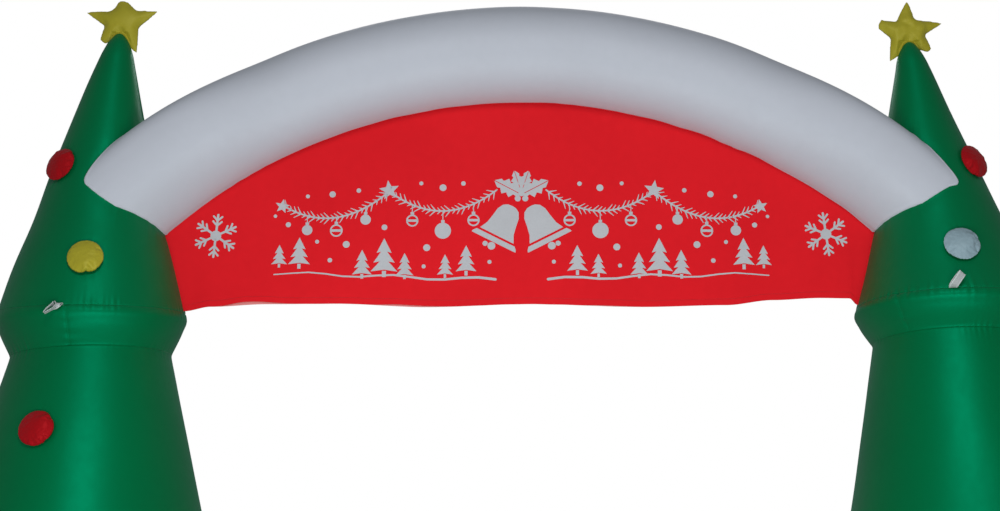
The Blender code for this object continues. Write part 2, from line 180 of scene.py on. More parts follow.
# Banner, as in the solid: its hem, its troughs, and how it is finished.
HEM_ROWS = (
    # x, z, y
    (-1.300, 1.943, 0.000),
    (-1.145, 1.944, 0.000),
    (-1.050, 1.958, -0.010),
    (-0.860, 1.966, -0.016),
    (-0.620, 1.969, -0.006),
    (-0.320, 1.960, 0.009),
    (0.030, 1.968, -0.004),
    (0.420, 1.957, -0.012),
    (0.700, 1.966, 0.004),
    (0.860, 1.984, 0.008),
    (1.020, 1.990, 0.000),
    (1.120, 1.988, -0.004),
    (1.146, 1.966, 0.000),
    (1.300, 1.964, 0.000),
)
BANNER_ENDS = {"left": -1.145, "right": 1.146}
BANNER_INTO_TOWER = 0.004
BANNER_EDGE_INTO_TUBE = 0.008
BANNER_JOINT_RISE = 0.020
BANNER_INTO_TUBE = 0.03
GATHER_HEIGHT = 0.0012
FLUTTER_HEIGHT = 0.0016
PULL_HEIGHT = 0.0014
TROUGH_DEPTH = 0.004
TROUGH_SPACING = 0.83
TROUGH_LEAN = 0.30
BANNER_COLUMNS = 330
BANNER_ROWS = 70
CLOTH_HALF = 0.0005
HEM_HEIGHT = 0.024
FOLD_STEP = 0.0007
SLIT_REACH = 0.08
REVERSE_THICKNESS = 0.0008
# Where the hem's turned-up reverse hangs below its front edge: x of both ends, and how far.
HEM_SLITS = ((-1.04, -0.74, 0.0105), (-0.53, -0.19, 0.0060), (0.20, 0.44, 0.0025))

STARS = {
    "left": {
        "x": -1.400,
        "z": 2.968,
        "arms": (
            # arm's heading from straight up, reach, half angle of its end, notch's heading, reach
            (4.6, 0.084, 12.0, 46.9, 0.074),
            (71.5, 0.134, 2.0, 105.2, 0.070),
            (150.4, 0.123, 2.0, 184.0, 0.060),
            (223.0, 0.094, 9.0, 259.9, 0.063),
            (288.6, 0.128, 2.0, 325.1, 0.060),
        ),
    },
    "right": {
        "x": 1.364,
        "z": 2.935,
        "arms": (
            (-0.7, 0.112, 3.5, 29.4, 0.058),
            (73.4, 0.123, 2.0, 99.0, 0.064),
            (133.0, 0.099, 7.0, 173.0, 0.060),
            (213.3, 0.125, 2.0, 252.0, 0.072),
            (287.0, 0.108, 10.0, 316.1, 0.062),
        ),
    },
}
STAR_THICKNESS = 0.052
STAR_BACK = 0.003
STAR_RIM_POINTS = 230
STAR_SPACING = 0.0042
STAR_PRESSURE = 6.0
STAR_FRAMES = 18
STAR_SEEDS = {"left": 61, "right": 62}
STAR_TIP_SLOPE = 0.75
BAUBLE_RADIUS = 0.060
BAUBLE_THICKNESS = 0.046
BAUBLE_PROUD = 0.010
BAUBLE_PEEL = 0.25
BAUBLE_CLEARANCE = 0.0008
BAUBLE_SIDES = 104
BAUBLE_SPACING = 0.0036
BAUBLE_PRESSURE = 7.0
BAUBLE_FRAMES = 16
BAUBLE_SEED = 300
PILLOW_CLOTH = {
    "quality": 8,
    "mass": 0.12,
    "air_damping": 1.5,
    "tension_stiffness": 30.0,
    "compression_stiffness": 30.0,
    "shear_stiffness": 8.0,
    "bending_stiffness": 0.004,
    "tension_damping": 8.0,
    "compression_damping": 8.0,
    "use_pressure": True,
}
BAUBLES = (
    # name, tower, height, heading, cloth
    ("bauble_left_red_high", "left", 2.420, -40.0, "bauble_red"),
    ("bauble_left_yellow", "left", 2.075, 5.5, "yellow"),
    ("bauble_left_red_low", "left", 1.508, -14.5, "bauble_red"),
    ("bauble_right_red", "right", 2.436, 46.0, "bauble_red"),
    ("bauble_right_white", "right", 2.119, -1.5, "bauble_white"),
)

RIBBON_WIDTH = 0.025
RIBBON_THICKNESS = 0.0010
RIBBON_EYE = 0.015
RIBBON_CLOSE = 0.25
LOOP_CLEARANCE = 0.0008
LOOP_RISE = 0.001
LOOP_STAND_OUT = 0.026
LOOP_STEPS = 28
LOOP_TAIL = 0.012
LOOP_CURL = 0.0006
LOOPS = (
    {
        "name": "guy_loop_left",
        "tower": "left",
        "heading": -7.0,
        "length": 0.060,
        "lean": (-0.66, -0.50, -0.56),
        "wide_tip": (0.38, -0.87, 0.32),
    },
    {
        "name": "guy_loop_right",
        "tower": "right",
        "heading": -13.5,
        "length": 0.056,
        "lean": (0.50, -0.42, 0.76),
        "wide_tip": (-0.87, -0.24, 0.44),
    },
)


CAMERA_PLACE = (-0.069, -6.13, 0.89)
CAMERA_PITCH = math.radians(101.5)
CAMERA_LENS_MM = 65.88
CAMERA_SENSOR_MM = 36.0
LIGHTS = (
    # name, place, where it points, width and height, watts, degrees of spread
    ("low", (0.0, -3.0, 0.50), (0.0, 0.0, 1.95), (3.8, 0.5), 28.0, 115),
    ("high", (-0.07, -6.1, 5.0), (0.0, 0.0, 1.3), (1.2, 2.0), 118.0, 180),
    ("back", (0.0, 4.2, 5.60), (0.0, 0.0, 1.80), (3.0, 1.5), 40.0, 180),
)
FLOOR_HALF = 30
FLOOR_COLOUR = (0.80, 0.80, 0.80)
AMBIENT = ((0.93, 0.96, 1.0, 1.0), 0.20)
BACKDROP = ((1.0, 1.0, 1.0, 1.0), 1.0)


def make_camera():
    """The photograph's view: in front, below the banner's height, looking up."""
    data = bpy.data.cameras.new("camera")
    data.lens = CAMERA_LENS_MM
    data.sensor_width = CAMERA_SENSOR_MM
    camera = bpy.data.objects.new("camera", data)
    camera.location = CAMERA_PLACE
    camera.rotation_euler = (CAMERA_PITCH, 0.0, 0.0)
    bpy.context.scene.collection.objects.link(camera)
    bpy.context.scene.camera = camera


# Node trees


class Nodes:
    """Short ways to add and link the nodes of a material."""

    def __init__(self, name):
        self.material = bpy.data.materials.new(name)
        self.material.use_nodes = True
        self.tree = self.material.node_tree
        self.shader = self.tree.nodes["Principled BSDF"]

    def add(self, kind, **settings):
        node = self.tree.nodes.new(kind)
        for key, value in settings.items():
            setattr(node, key, value)
        return node

    def feed(self, socket, value):
        if isinstance(value, bpy.types.NodeSocket):
            self.tree.links.new(value, socket)
        else:
            socket.default_value = value

    def math(self, operation, first, second=0.0, clamp=False):
        node = self.add("ShaderNodeMath", operation=operation, use_clamp=clamp)
        self.feed(node.inputs[0], first)
        self.feed(node.inputs[1], second)
        return node.outputs[0]

    def ramp(self, value, low, high, out_low=0.0, out_high=1.0):
        node = self.add("ShaderNodeMapRange", interpolation_type="SMOOTHSTEP")
        for socket, number in zip(node.inputs[:5], (value, low, high, out_low, out_high)):
            self.feed(socket, number)
        return node.outputs[0]

    def noise(self, vector, scale, detail=2.0, roughness=0.5, distortion=0.0):
        node = self.add("ShaderNodeTexNoise")
        self.feed(node.inputs["Vector"], vector)
        node.inputs["Scale"].default_value = scale
        node.inputs["Detail"].default_value = detail
        node.inputs["Roughness"].default_value = roughness
        node.inputs["Distortion"].default_value = distortion
        return node.outputs["Fac"]

    def mix(self, share, first, second):
        node = self.add("ShaderNodeMix", data_type="RGBA")
        self.feed(node.inputs[0], share)
        self.feed(node.inputs[6], first)
        self.feed(node.inputs[7], second)
        return node.outputs[2]

    def bump(self, height, strength, distance, normal=None):
        node = self.add("ShaderNodeBump")
        self.feed(node.inputs["Height"], height)
        node.inputs["Strength"].default_value = strength
        node.inputs["Distance"].default_value = distance
        if normal is not None:
            self.feed(node.inputs["Normal"], normal)
        return node.outputs["Normal"]

    def set(self, **values):
        """Sets sockets of the shader, named with _ for each space."""
        for name, value in values.items():
            self.shader.inputs[name.replace("_", " ")].default_value = value

    def colour(self, value):
        self.feed(self.shader.inputs["Base Color"], value)

    def attribute(self, name):
        return self.add("ShaderNodeAttribute", attribute_name=name).outputs["Fac"]


def shade(colour, factor):
    """The colour, lighter or darker by the factor."""
    return (*[min(1.0, channel * factor) for channel in colour], 1.0)


THREAD = 0.0008
STITCH_PITCH = 0.0050
STITCH_INSET = 0.0045
STITCH_HALF = 0.0011
# Width of the seam band that holds the painted shade and painted highlight.
PAINTED_RIM_WIDTH = 0.0045
CREASE_HEIGHT = 0.006
WEAVE_HEIGHT = 0.00002
STITCH_HEIGHT = 0.0004


def stitch_row(n, gap):
    """1 on the stitches of a row beside each seam, and 0 elsewhere."""
    phase = n.math("FRACT", n.math("DIVIDE", n.attribute("seam_run"), STITCH_PITCH))
    dash = n.math("MULTIPLY", n.math("GREATER_THAN", phase, 0.12), n.math("LESS_THAN", phase, 0.80))
    off_row = n.math("ABSOLUTE", n.math("SUBTRACT", gap, STITCH_INSET))
    return n.math("MULTIPLY", dash, n.ramp(off_row, 0.0, STITCH_HALF, 1.0, 0.0))


def taffeta(name, colour, gloss, level, roughness, crumple, cloudy, rim=None):
    """Coated taffeta: its weave, cloudy colour and creases, and with a rim also its stitches and a band along
    its seams, darkened as painted shade by a rim below 1 and lightened as painted highlight by a rim above 1.
    """
    n = Nodes(name)
    where = n.add("ShaderNodeTexCoord").outputs["Object"]
    split = n.add("ShaderNodeSeparateXYZ")
    n.feed(split.inputs[0], n.add("ShaderNodeUVMap", uv_map="cloth").outputs["UV"])
    warp, weft = (
        n.math("SINE", n.math("MULTIPLY", split.outputs[axis], TAU / THREAD)) for axis in ("X", "Y")
    )
    clouds = n.noise(where, scale=2.2, detail=1.5, roughness=0.55)
    flecks = n.noise(where, scale=30.0, detail=1.0, roughness=0.6)
    tone = n.math("ADD", n.math("MULTIPLY", clouds, 0.75), n.math("MULTIPLY", flecks, 0.25))
    creases = n.noise(where, scale=14.0, detail=3.0, roughness=0.55, distortion=0.5)
    cloth = n.mix(n.ramp(tone, 0.30, 0.70), shade(colour, 1 - cloudy), shade(colour, 1 + cloudy))
    relief = n.math("MULTIPLY", creases, CREASE_HEIGHT * crumple)
    relief = n.math("ADD", relief, n.math("MULTIPLY", n.math("MULTIPLY", warp, weft), WEAVE_HEIGHT))
    if rim is not None:
        gap = n.attribute("seam_gap")
        stitch = stitch_row(n, gap)
        # The band along each seam is painted shade where rim is below 1 and painted highlight where it is
        # above 1.
        cloth = n.mix(n.ramp(gap, 0.0, PAINTED_RIM_WIDTH, 0.9, 0.0), cloth, shade(colour, rim))
        cloth = n.mix(n.math("MULTIPLY", stitch, 0.40), cloth, shade(colour, 1.35))
        relief = n.math("ADD", relief, n.math("MULTIPLY", stitch, STITCH_HEIGHT))
    n.colour(cloth)
    n.feed(n.shader.inputs["Roughness"], n.ramp(tone, 0.25, 0.75, roughness + 0.06, roughness - 0.05))
    n.feed(n.shader.inputs["Normal"], n.bump(relief, strength=1.0, distance=1.0))
    n.set(Specular_IOR_Level=level, Specular_Tint=(*gloss, 1.0))
    n.set(Sheen_Weight=0.03, Sheen_Roughness=0.45, Sheen_Tint=(*gloss, 1.0))
    return n.material


RIB_PITCH = 0.0016
WOVEN_EDGE_START = RIBBON_WIDTH / 2 - 0.0034
WOVEN_EDGE_END = RIBBON_WIDTH / 2 - 0.0022


def webbing(name, colour):
    """Matt ribbon: ribs across it and paler woven edges."""
    n = Nodes(name)
    split = n.add("ShaderNodeSeparateXYZ")
    n.feed(split.inputs[0], n.add("ShaderNodeUVMap", uv_map="cloth").outputs["UV"])
    ribs = n.math("SINE", n.math("MULTIPLY", split.outputs["X"], TAU / RIB_PITCH))
    edge = n.ramp(n.math("ABSOLUTE", split.outputs["Y"]), WOVEN_EDGE_START, WOVEN_EDGE_END)
    ground = n.mix(n.ramp(ribs, -1.0, 1.0), shade(colour, 0.66), shade(colour, 0.84))
    n.colour(n.mix(edge, ground, shade(colour, 1.12)))
    n.feed(n.shader.inputs["Normal"], n.bump(ribs, strength=0.5, distance=0.0004))
    n.set(Roughness=0.62, Sheen_Weight=0.25, Sheen_Roughness=0.5)
    return n.material


def ink(name, colour):
    """Printed colour: a thin film that dulls and cracks a little over the weave."""
    n = Nodes(name)
    where = n.add("ShaderNodeTexCoord").outputs["Object"]
    cracks = n.noise(where, scale=240.0, detail=4.0, roughness=0.7)
    clouds = n.noise(where, scale=9.0, detail=3.0, roughness=0.6)
    tone = n.math("ADD", n.math("MULTIPLY", cracks, 0.4), n.math("MULTIPLY", clouds, 0.6))
    n.colour(n.mix(n.ramp(tone, 0.3, 0.7), shade(colour, 0.92), shade(colour, 1.05)))
    n.feed(n.shader.inputs["Roughness"], n.ramp(clouds, 0.3, 0.7, 0.50, 0.60))
    n.feed(n.shader.inputs["Normal"], n.bump(cracks, strength=0.2, distance=0.0004))
    return n.material


def matt(name, colour, roughness):
    """A plain pale studio surface with a trace of unevenness."""
    n = Nodes(name)
    where = n.add("ShaderNodeTexCoord").outputs["Object"]
    clouds = n.noise(where, scale=0.8, detail=4.0, roughness=0.6)
    n.colour(n.mix(clouds, shade(colour, 0.98), shade(colour, 1.02)))
    n.set(Roughness=roughness)
    return n.material


CLOTHS = {
    # name: colour, tint of its gloss, gloss level, roughness, crumple, cloudiness, and the shade of its sewn
    # rim: below 1 a painted shade along the seams, above 1 a painted highlight
    "green": ((0.0003, 0.126, 0.034), (0.0, 1.0, 0.55), 0.95, 0.43, 0.10, 0.05, 1.05),
    "white": ((0.56, 0.595, 0.665), (0.90, 0.95, 1.0), 0.45, 0.54, 0.06, 0.02, 1.12),
    "red": ((0.74, 0.0125, 0.0200), (1.0, 0.08, 0.08), 0.40, 0.56, 0.10, 0.04, 0.90),
    "yellow": ((0.405, 0.365, 0.025), (1.0, 0.95, 0.45), 0.50, 0.46, 0.10, 0.05, 0.45),
    "bauble_red": ((0.36, 0.0060, 0.0098), (1.0, 0.06, 0.07), 0.50, 0.40, 0.15, 0.05, 0.60),
    "bauble_white": ((0.285, 0.405, 0.46), (0.85, 0.95, 1.0), 0.45, 0.42, 0.12, 0.04, 1.25),
    "reverse": ((0.78, 0.28, 0.27), (1.0, 0.6, 0.6), 0.40, 0.56, 0.10, 0.04),
}


def make_materials():
    """All the arch's cloths and inks by name."""
    made = {slot: taffeta(slot, *facts) for slot, facts in CLOTHS.items()}
    made["ribbon"] = webbing("ribbon", (0.62, 0.68, 0.68))
    made["print"] = ink("print", (0.49, 0.51, 0.54))
    made["thread"] = ink("thread", (0.46, 0.012, 0.018))
    return made


# Meshes


def add_piece(name, mesh, slot, *nodes):
    """Puts a mesh in the scene as a piece that takes the place of the named nodes."""
    piece = bpy.data.objects.new(name, mesh)
    bpy.context.scene.collection.objects.link(piece)
    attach(piece, BODY)
    if nodes:
        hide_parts(*nodes)
    return piece


def grid_mesh(name, points, uv, material, closed=False, gap=None, run=None, caps=()):
    """A mesh over rows of points, each a (count, 3) array. caps holds 0 and -1 for the ends to fill."""
    rows, count = points.shape[:2]
    here = np.arange(rows * count).reshape(rows, count)
    after = np.roll(here, -1, axis=1) if closed else here[:, 1:]
    before = here if closed else here[:, :-1]
    quads = np.stack((before[:-1], after[:-1], after[1:], before[1:]), axis=-1).reshape(-1, 4)
    faces = quads.tolist()
    vertices = points.reshape(-1, 3).tolist()
    flat_uv = uv.reshape(-1, 2)
    for end in caps:
        vertices.append(points[end].mean(axis=0).tolist())
        middle = len(vertices) - 1
        ring = here[end].tolist()
        pairs = zip(ring, ring[1:] + ring[:1])
        faces += [(b, a, middle) if end == 0 else (a, b, middle) for a, b in pairs]
        flat_uv = np.vstack((flat_uv, flat_uv[here[end]].mean(axis=0)))
    mesh = bpy.data.meshes.new(name)
    mesh.from_pydata(vertices, [], faces)
    corners = np.empty(len(mesh.loops), dtype=np.int32)
    mesh.loops.foreach_get("vertex_index", corners)
    layer = mesh.uv_layers.new(name="cloth")
    layer.data.foreach_set("uv", flat_uv[corners].astype(np.float32).ravel())
    for label, values in (("seam_gap", gap), ("seam_run", run)):
        if values is not None:
            flat = np.full(len(vertices), 1.0, dtype=np.float32)
            flat[: rows * count] = values.ravel()
            mesh.attributes.new(label, "FLOAT", "POINT").data.foreach_set("value", flat)
    mesh.materials.append(material)
    mesh.shade_smooth()
    mesh.update()
    return mesh


def spline(knots, values, at):
    """Smooth curve through values at rising knots, read at each place."""
    knots, values = np.asarray(knots, float), np.asarray(values, float)
    steps = np.diff(knots)
    slopes = np.diff(values) / steps
    tangents = np.empty_like(values)
    tangents[0], tangents[-1] = slopes[0], slopes[-1]
    tangents[1:-1] = (slopes[:-1] * steps[1:] + slopes[1:] * steps[:-1]) / (steps[1:] + steps[:-1])
    i = np.clip(np.searchsorted(knots, at, side="right") - 1, 0, len(steps) - 1)
    t = (at - knots[i]) / steps[i]
    h = steps[i]
    return (
        (2 * t**3 - 3 * t**2 + 1) * values[i]
        + (t**3 - 2 * t**2 + t) * h * tangents[i]
        + (3 * t**2 - 2 * t**3) * values[i + 1]
        + (t**3 - t**2) * h * tangents[i + 1]
    )


def smooth_share(value, start, end):
    """0 before start, 1 after end, and smooth between."""
    share = np.clip((value - start) / (end - start), 0.0, 1.0)
    return share * share * (3 - 2 * share)


def ripples(turn, count, seed, calm=0.35):
    """Irregular puckers round a seam, about count of them, in groups with calm stretches between."""
    draw = np.random.default_rng(seed)
    wave = np.zeros_like(turn)
    for _ in range(7):
        n = int(count * draw.uniform(0.6, 1.4))
        wave += draw.uniform(0.5, 1.0) * np.sin(n * turn + draw.uniform(0, TAU))
    group = np.zeros_like(turn)
    for n in (2, 3, 5, 8):
        group += np.sin(n * turn + draw.uniform(0, TAU)) / math.sqrt(n)
    return wave / 3.0 * np.clip(0.5 + 0.55 * group - calm, 0.06, 1.1)


def swells(across, up, seed):
    """Broad soft unevenness of a surface, from its two surface coordinates in metres."""
    draw = np.random.default_rng(seed)
    total = np.zeros(np.broadcast(across, up).shape)
    for size in (0.9, 0.55, 0.34, 0.21):
        for _ in range(2):
            heading = draw.uniform(0, TAU)
            phase = draw.uniform(0, TAU)
            total += size * np.sin(TAU / size * (across * math.cos(heading) + up * math.sin(heading)) + phase)
    return total / 2.0


# Towers


def tuck_rows(ridge, waist):
    """The rows of a tier's underside, from its ridge in to the waist."""
    rows = []
    for down, inwards in TUCK_ROWS:
        row = [top + (bottom - top) * down for top, bottom in zip(ridge, waist)]
        row[2] = ridge[2] + (waist[2] - ridge[2]) * inwards
        rows.append(tuple(row))
    return rows


def tower_panels(tower):
    """The panels of a tower, from its tip down, each with its rows."""
    cones = TOWERS[tower]
    foot_ridge = cones["bottom_cone"][-1]
    floor = (0.0, foot_ridge[1], FOOT_RADIUS, 0.0, 0.0)
    return (
        ("top_cone", cones["top_cone"]),
        ("top_tuck", tuck_rows(cones["top_cone"][-1], cones["middle_cone"][0])),
        ("middle_cone", cones["middle_cone"]),
        ("middle_tuck", tuck_rows(cones["middle_cone"][-1], cones["bottom_cone"][0])),
        ("bottom_cone", cones["bottom_cone"]),
        ("foot", tuck_rows(foot_ridge, floor)),
    )


def tower_side(tower, z, x, y):
    """(axis, radius, slope) of a tower's side at a height, on the bearing of a point."""
    outer = -1.0 if tower == "left" else 1.0
    middle = TOWERS[tower]["top_cone"][-1][1]
    away = math.hypot(x - middle, y)
    across, back = (x - middle) / away, y / away
    rows = [
        (row[0] + row[3] * back - row[4] * (1 + outer * across) / 2, row[1], row[2])
        for _, panel in tower_panels(tower)
        for row in panel
    ]
    for upper, lower in zip(rows, rows[1:]):
        if lower[0] <= z <= upper[0] and upper[0] > lower[0]:
            share = (upper[0] - z) / (upper[0] - lower[0])
            axis = upper[1] + (lower[1] - upper[1]) * share
            radius = upper[2] + (lower[2] - upper[2]) * share
            return axis, radius, (lower[2] - upper[2]) / (upper[0] - lower[0])
    return rows[0][1], 0.0, 0.0


def surface_frame(tower, z, heading):
    """A matrix at a point of a tower's side: +Y points out of it, +Z up its slope."""
    turn = math.radians(heading)
    outwards = Vector((math.sin(turn), -math.cos(turn), 0.0))
    middle = TOWERS[tower]["top_cone"][-1][1]
    axis, radius, slope = tower_side(tower, z, middle + outwards.x, outwards.y)
    normal = (outwards + Vector((0.0, 0.0, slope))).normalized()
    across = Vector((0.0, 0.0, 1.0)).cross(outwards).normalized()
    up = across.cross(normal)
    point = Vector((axis, 0.0, z)) + outwards * radius
    turned = Matrix((across, normal, up)).transposed().to_4x4()
    return Matrix.Translation(point) @ turned


def slope_stations(length):
    """Places down a panel, close together near its two seams."""
    places, at = [0.0], 0.0
    while at < length:
        from_seam = min(at, length - at)
        share = smooth_share(from_seam, 0.02, 2.5 * SEAM_REACH)
        at += SKIN_SPACING["seam"] + (SKIN_SPACING["open"] - SKIN_SPACING["seam"]) * share
        places.append(min(at, length))
    if length - places[-2] < 0.5 * SKIN_SPACING["seam"]:
        places.pop(-2)
    return np.array(places)


def seam_relief(gap, turn, radius, seed, depth, pucker):
    """How a seam draws the cloth in, and the puckers that fan out from it."""
    groove = -depth * np.exp(-((gap / GROOVE_WIDTH) ** 2))
    wave = ripples(turn, max(12, int(TAU * radius / PUCKER_SPACING)), seed)
    reach = 0.016 + 0.009 * np.sin(3 * turn + seed)
    return groove + pucker * wave * np.exp(-gap / reach) * smooth_share(gap, -0.004, 0.008)


def closing_relief(along, beside):
    """The groove and the small gathers of the seam that closes a panel."""
    groove = np.exp(-((beside / GROOVE_WIDTH) ** 2))
    gathers = np.exp(-beside / CLOSING_REACH) * np.sin(TAU * along / CLOSING_GATHER + 2 * np.sin(9 * along))
    return CLOSING_DEPTH * (gathers - groove)


def panel_relief(tower, index, rows, along, turn, beside):
    """All the relief of a panel but its dents, in metres out from its solid's shape."""
    seed = TOWER_SEEDS[tower]
    from_bottom = along[-1] - along
    above, below = (SEAM_LOOKS[kind] for kind in PANEL_ENDS[index])
    relief = seam_relief(along, turn, rows[0, 2], seed + index, *above)
    relief = relief + seam_relief(from_bottom, turn, rows[-1, 2], seed + index + 1, *below)
    free = smooth_share(np.minimum(along, from_bottom), 0.0, SWELL_FREE)
    relief = relief + SWELL_HEIGHT * swells(turn * rows[:, 2].mean(), along, seed + 10 * index) * free
    return relief + closing_relief(along, beside)


def dents_round(points, places):
    """Dents in a skin round the pieces sewn on it: each place is (ring, reach, depth, seed)."""
    total = np.zeros(points.shape[:2])
    flat = points.reshape(-1, 3)
    for ring, reach, depth, seed in places:
        tree = KDTree(len(ring))
        for i, spot in enumerate(ring):
            tree.insert(spot, i)
        tree.balance()
        low, high = np.min(ring, axis=0) - 4 * reach, np.max(ring, axis=0) + 4 * reach
        near = np.nonzero(np.all((flat > low) & (flat < high), axis=1))[0]
        round_it = np.linspace(0, TAU, len(ring), endpoint=False)
        wave = ripples(round_it, 0.8 * len(ring) ** 0.75, seed, 0.2)
        for k in near:
            _, i, away = tree.find(flat[k])
            pulled = -depth * math.exp(-((away / (0.55 * reach)) ** 2))
            total.flat[k] += pulled + 1.3 * depth * wave[i] * math.exp(-away / reach)
    return total


def turned_in(ring, axis_x, radius):
    """The edge of a skin, drawn in by its seam allowance."""
    share = 1 - SEAM_ALLOWANCE / radius
    inner = ring.copy()
    inner[:, 0] = axis_x + (ring[:, 0] - axis_x) * share
    inner[:, 1] *= share
    return inner[None]


def tower_skin(tower, index, dents):
    """The skin of one panel, on its solid's shape."""
    panel, rows = tower_panels(tower)[index]
    ends = PANEL_ENDS[index]
    rows = np.array(rows)
    knots = np.concatenate(([0.0], np.cumsum(np.hypot(np.diff(rows[:, 0]), np.diff(rows[:, 2])))))
    stations = slope_stations(knots[-1])
    z, x, radius, front_drop, outer_drop = (spline(knots, column, stations)[:, None] for column in rows.T)
    turn = (np.arange(SKIN_SIDES) / SKIN_SIDES * TAU)[None, :]
    across, back = np.cos(turn), np.sin(turn)
    outer = -1.0 if tower == "left" else 1.0
    fall = np.gradient(z[:, 0], stations)[:, None]
    widen = np.gradient(radius[:, 0], stations)[:, None]
    out_r = -fall / np.hypot(fall, widen)
    out_z = widen / np.hypot(fall, widen)

    def place(lift):
        reach = radius + lift * out_r
        height = z + lift * out_z + front_drop * back - outer_drop * (1 + outer * across) / 2
        return np.stack((x + reach * across, reach * back, np.broadcast_to(height, reach.shape)), axis=-1)

    along = stations[:, None]
    from_bottom = along[-1] - along
    heading = math.radians(CLOSING_SEAMS[tower][index])
    seam_turn = math.atan2(-math.cos(heading), math.sin(heading))
    beside = np.abs((turn - seam_turn + math.pi) % TAU - math.pi) * radius
    relief = panel_relief(tower, index, rows, along, turn, beside)
    if dents:
        relief = relief + dents_round(place(relief), dents)
    if ends[1] == "floor":
        relief = relief * smooth_share(from_bottom, 0.0, 0.03)
    points = place(relief)

    # Stitches and the rim's painted shade and highlight show beside the ridges and the closing seam, and the
    # waists hide theirs.
    hidden = [0.0 if kind == "ridge" else 1.0 for kind in ends]
    gap = np.minimum(np.minimum(along + hidden[0], from_bottom + hidden[1]), beside + 0.004)
    run = np.where(beside < np.minimum(along, from_bottom), along, turn * radius.mean())
    uv = np.stack(np.broadcast_arrays(turn * radius.mean(), along), axis=-1)
    sewn = [int(kind in ("ridge", "waist")) for kind in ends]
    first, last = (turned_in(points[end], x[end, 0], radius[end, 0]) for end in (0, -1))
    points = np.concatenate([first] * sewn[0] + [points] + [last] * sewn[1])
    gap, run = (np.pad(values, (sewn, (0, 0)), mode="edge") for values in (gap, run))
    uv = np.pad(uv, (sewn, (0, 0), (0, 0)), mode="edge")
    caps = [0] * (ends[0] == "tip") + [-1] * (ends[1] == "floor")
    points, uv, gap, run = (values[:, ::-1] for values in (points, uv, gap, run))
    name = f"{tower}_{panel}_skin"
    mesh = grid_mesh(name, points, uv, cloths["green"], True, gap, run, caps)
    piece = add_piece(name, mesh, "green", f"{tower}_{panel}")
    return piece


# Arch tube


def tube_point(angle, turn, grow):
    """A point of the tube: its angle from the arch's crown, and its turn round the section."""
    flare = smooth_share(abs(angle), FLARE_START, FLARE_END)
    joint = JOINTS["left" if angle < 0 else "right"]
    height = TUBE_RADIUS + (joint["half_height"] - TUBE_RADIUS) * flare + grow
    depth = TUBE_RADIUS + (joint["half_depth"] - TUBE_RADIUS) * flare + grow
    up, front = 0.0, 0.0
    reach = flare * abs(math.sin(turn)) ** 3
    for step in SECTION_ROUNDING:
        near = turn + step * reach
        across, ahead = math.cos(near), math.sin(near)
        square = 2.0 + ((JOINT_SQUARE_ABOVE if across > 0 else JOINT_SQUARE_BELOW) - 2.0) * flare
        up += math.copysign(abs(across) ** (2 / square), across) * height / len(SECTION_ROUNDING)
        front += math.copysign(abs(ahead) ** (2 / square), ahead) * depth / len(SECTION_ROUNDING)
    front *= 1 + 0.022 * reach
    roll = joint["roll"] * flare
    rise = ARCH_RADIUS + up * math.cos(roll) + front * math.sin(roll)
    forward = front * math.cos(roll) - up * math.sin(roll) + joint["forward"] * flare
    return Vector((rise * math.sin(angle), -forward, ARCH_CENTRE_Z + rise * math.cos(angle)))


def joint_angle(tower, turn):
    """Where the line along the tube at a turn comes down to the tower."""
    outer = -1.0 if tower == "left" else 1.0
    near, far = BODY_END, JOINT_REACH
    for _ in range(18):
        middle = (near + far) / 2
        point = tube_point(outer * middle, turn, 0.0)
        axis, radius, _ = tower_side(tower, point.z, point.x, point.y)
        if math.hypot(point.x - axis, point.y) - radius > JOINT_PROUD:
            near = middle
        else:
            far = middle
    return outer * near


def tube_turns():
    """Turns round the section, a little closer together along the underside."""
    even = np.arange(TUBE_SIDES) / TUBE_SIDES * TAU
    return even + 0.25 * np.sin(even)


def tube_angles(turns, ends):
    """The tube's rings from joint to joint, as angles from the arch's crown."""
    shares = 1 - (1 - np.arange(1, TUBE_JOINT_STEPS + 1) / TUBE_JOINT_STEPS) ** 1.5
    left, right = (
        sign * BODY_END + (np.array(ends[tower])[None, :] - sign * BODY_END) * shares[:, None]
        for tower, sign in (("left", -1), ("right", 1))
    )
    body = np.linspace(-BODY_END, BODY_END, TUBE_BODY_STEPS + 1)[:, None] + 0 * turns[None, :]
    return np.concatenate((left[::-1], body, right))


def tube_relief(along, turn, away):
    """Puckers, grooves and welts of the tube. away holds the distances from what is sewn to it."""
    from_end = np.minimum(away["left"], away["right"])
    relief = 0.0015 * swells(along, turn * TUBE_RADIUS, 31) * smooth_share(from_end, 0.0, 0.1)
    for place, height, count, seed, calm, reach in TUBE_PUCKERS:
        run = turn if place in JOINTS else 2 * along
        relief = relief + height * ripples(run, count, seed, calm) * np.exp(-away[place] / reach)
    for place, depth, width in TUBE_GROOVES:
        relief = relief - depth * np.exp(-((away[place] / width) ** 2))
    for place in JOINTS:
        from_welt = (away[place] - JOINT_WELT_WIDTH) / JOINT_WELT_WIDTH
        relief = relief + JOINT_WELT_HEIGHT * np.exp(-(from_welt**2))
    return relief


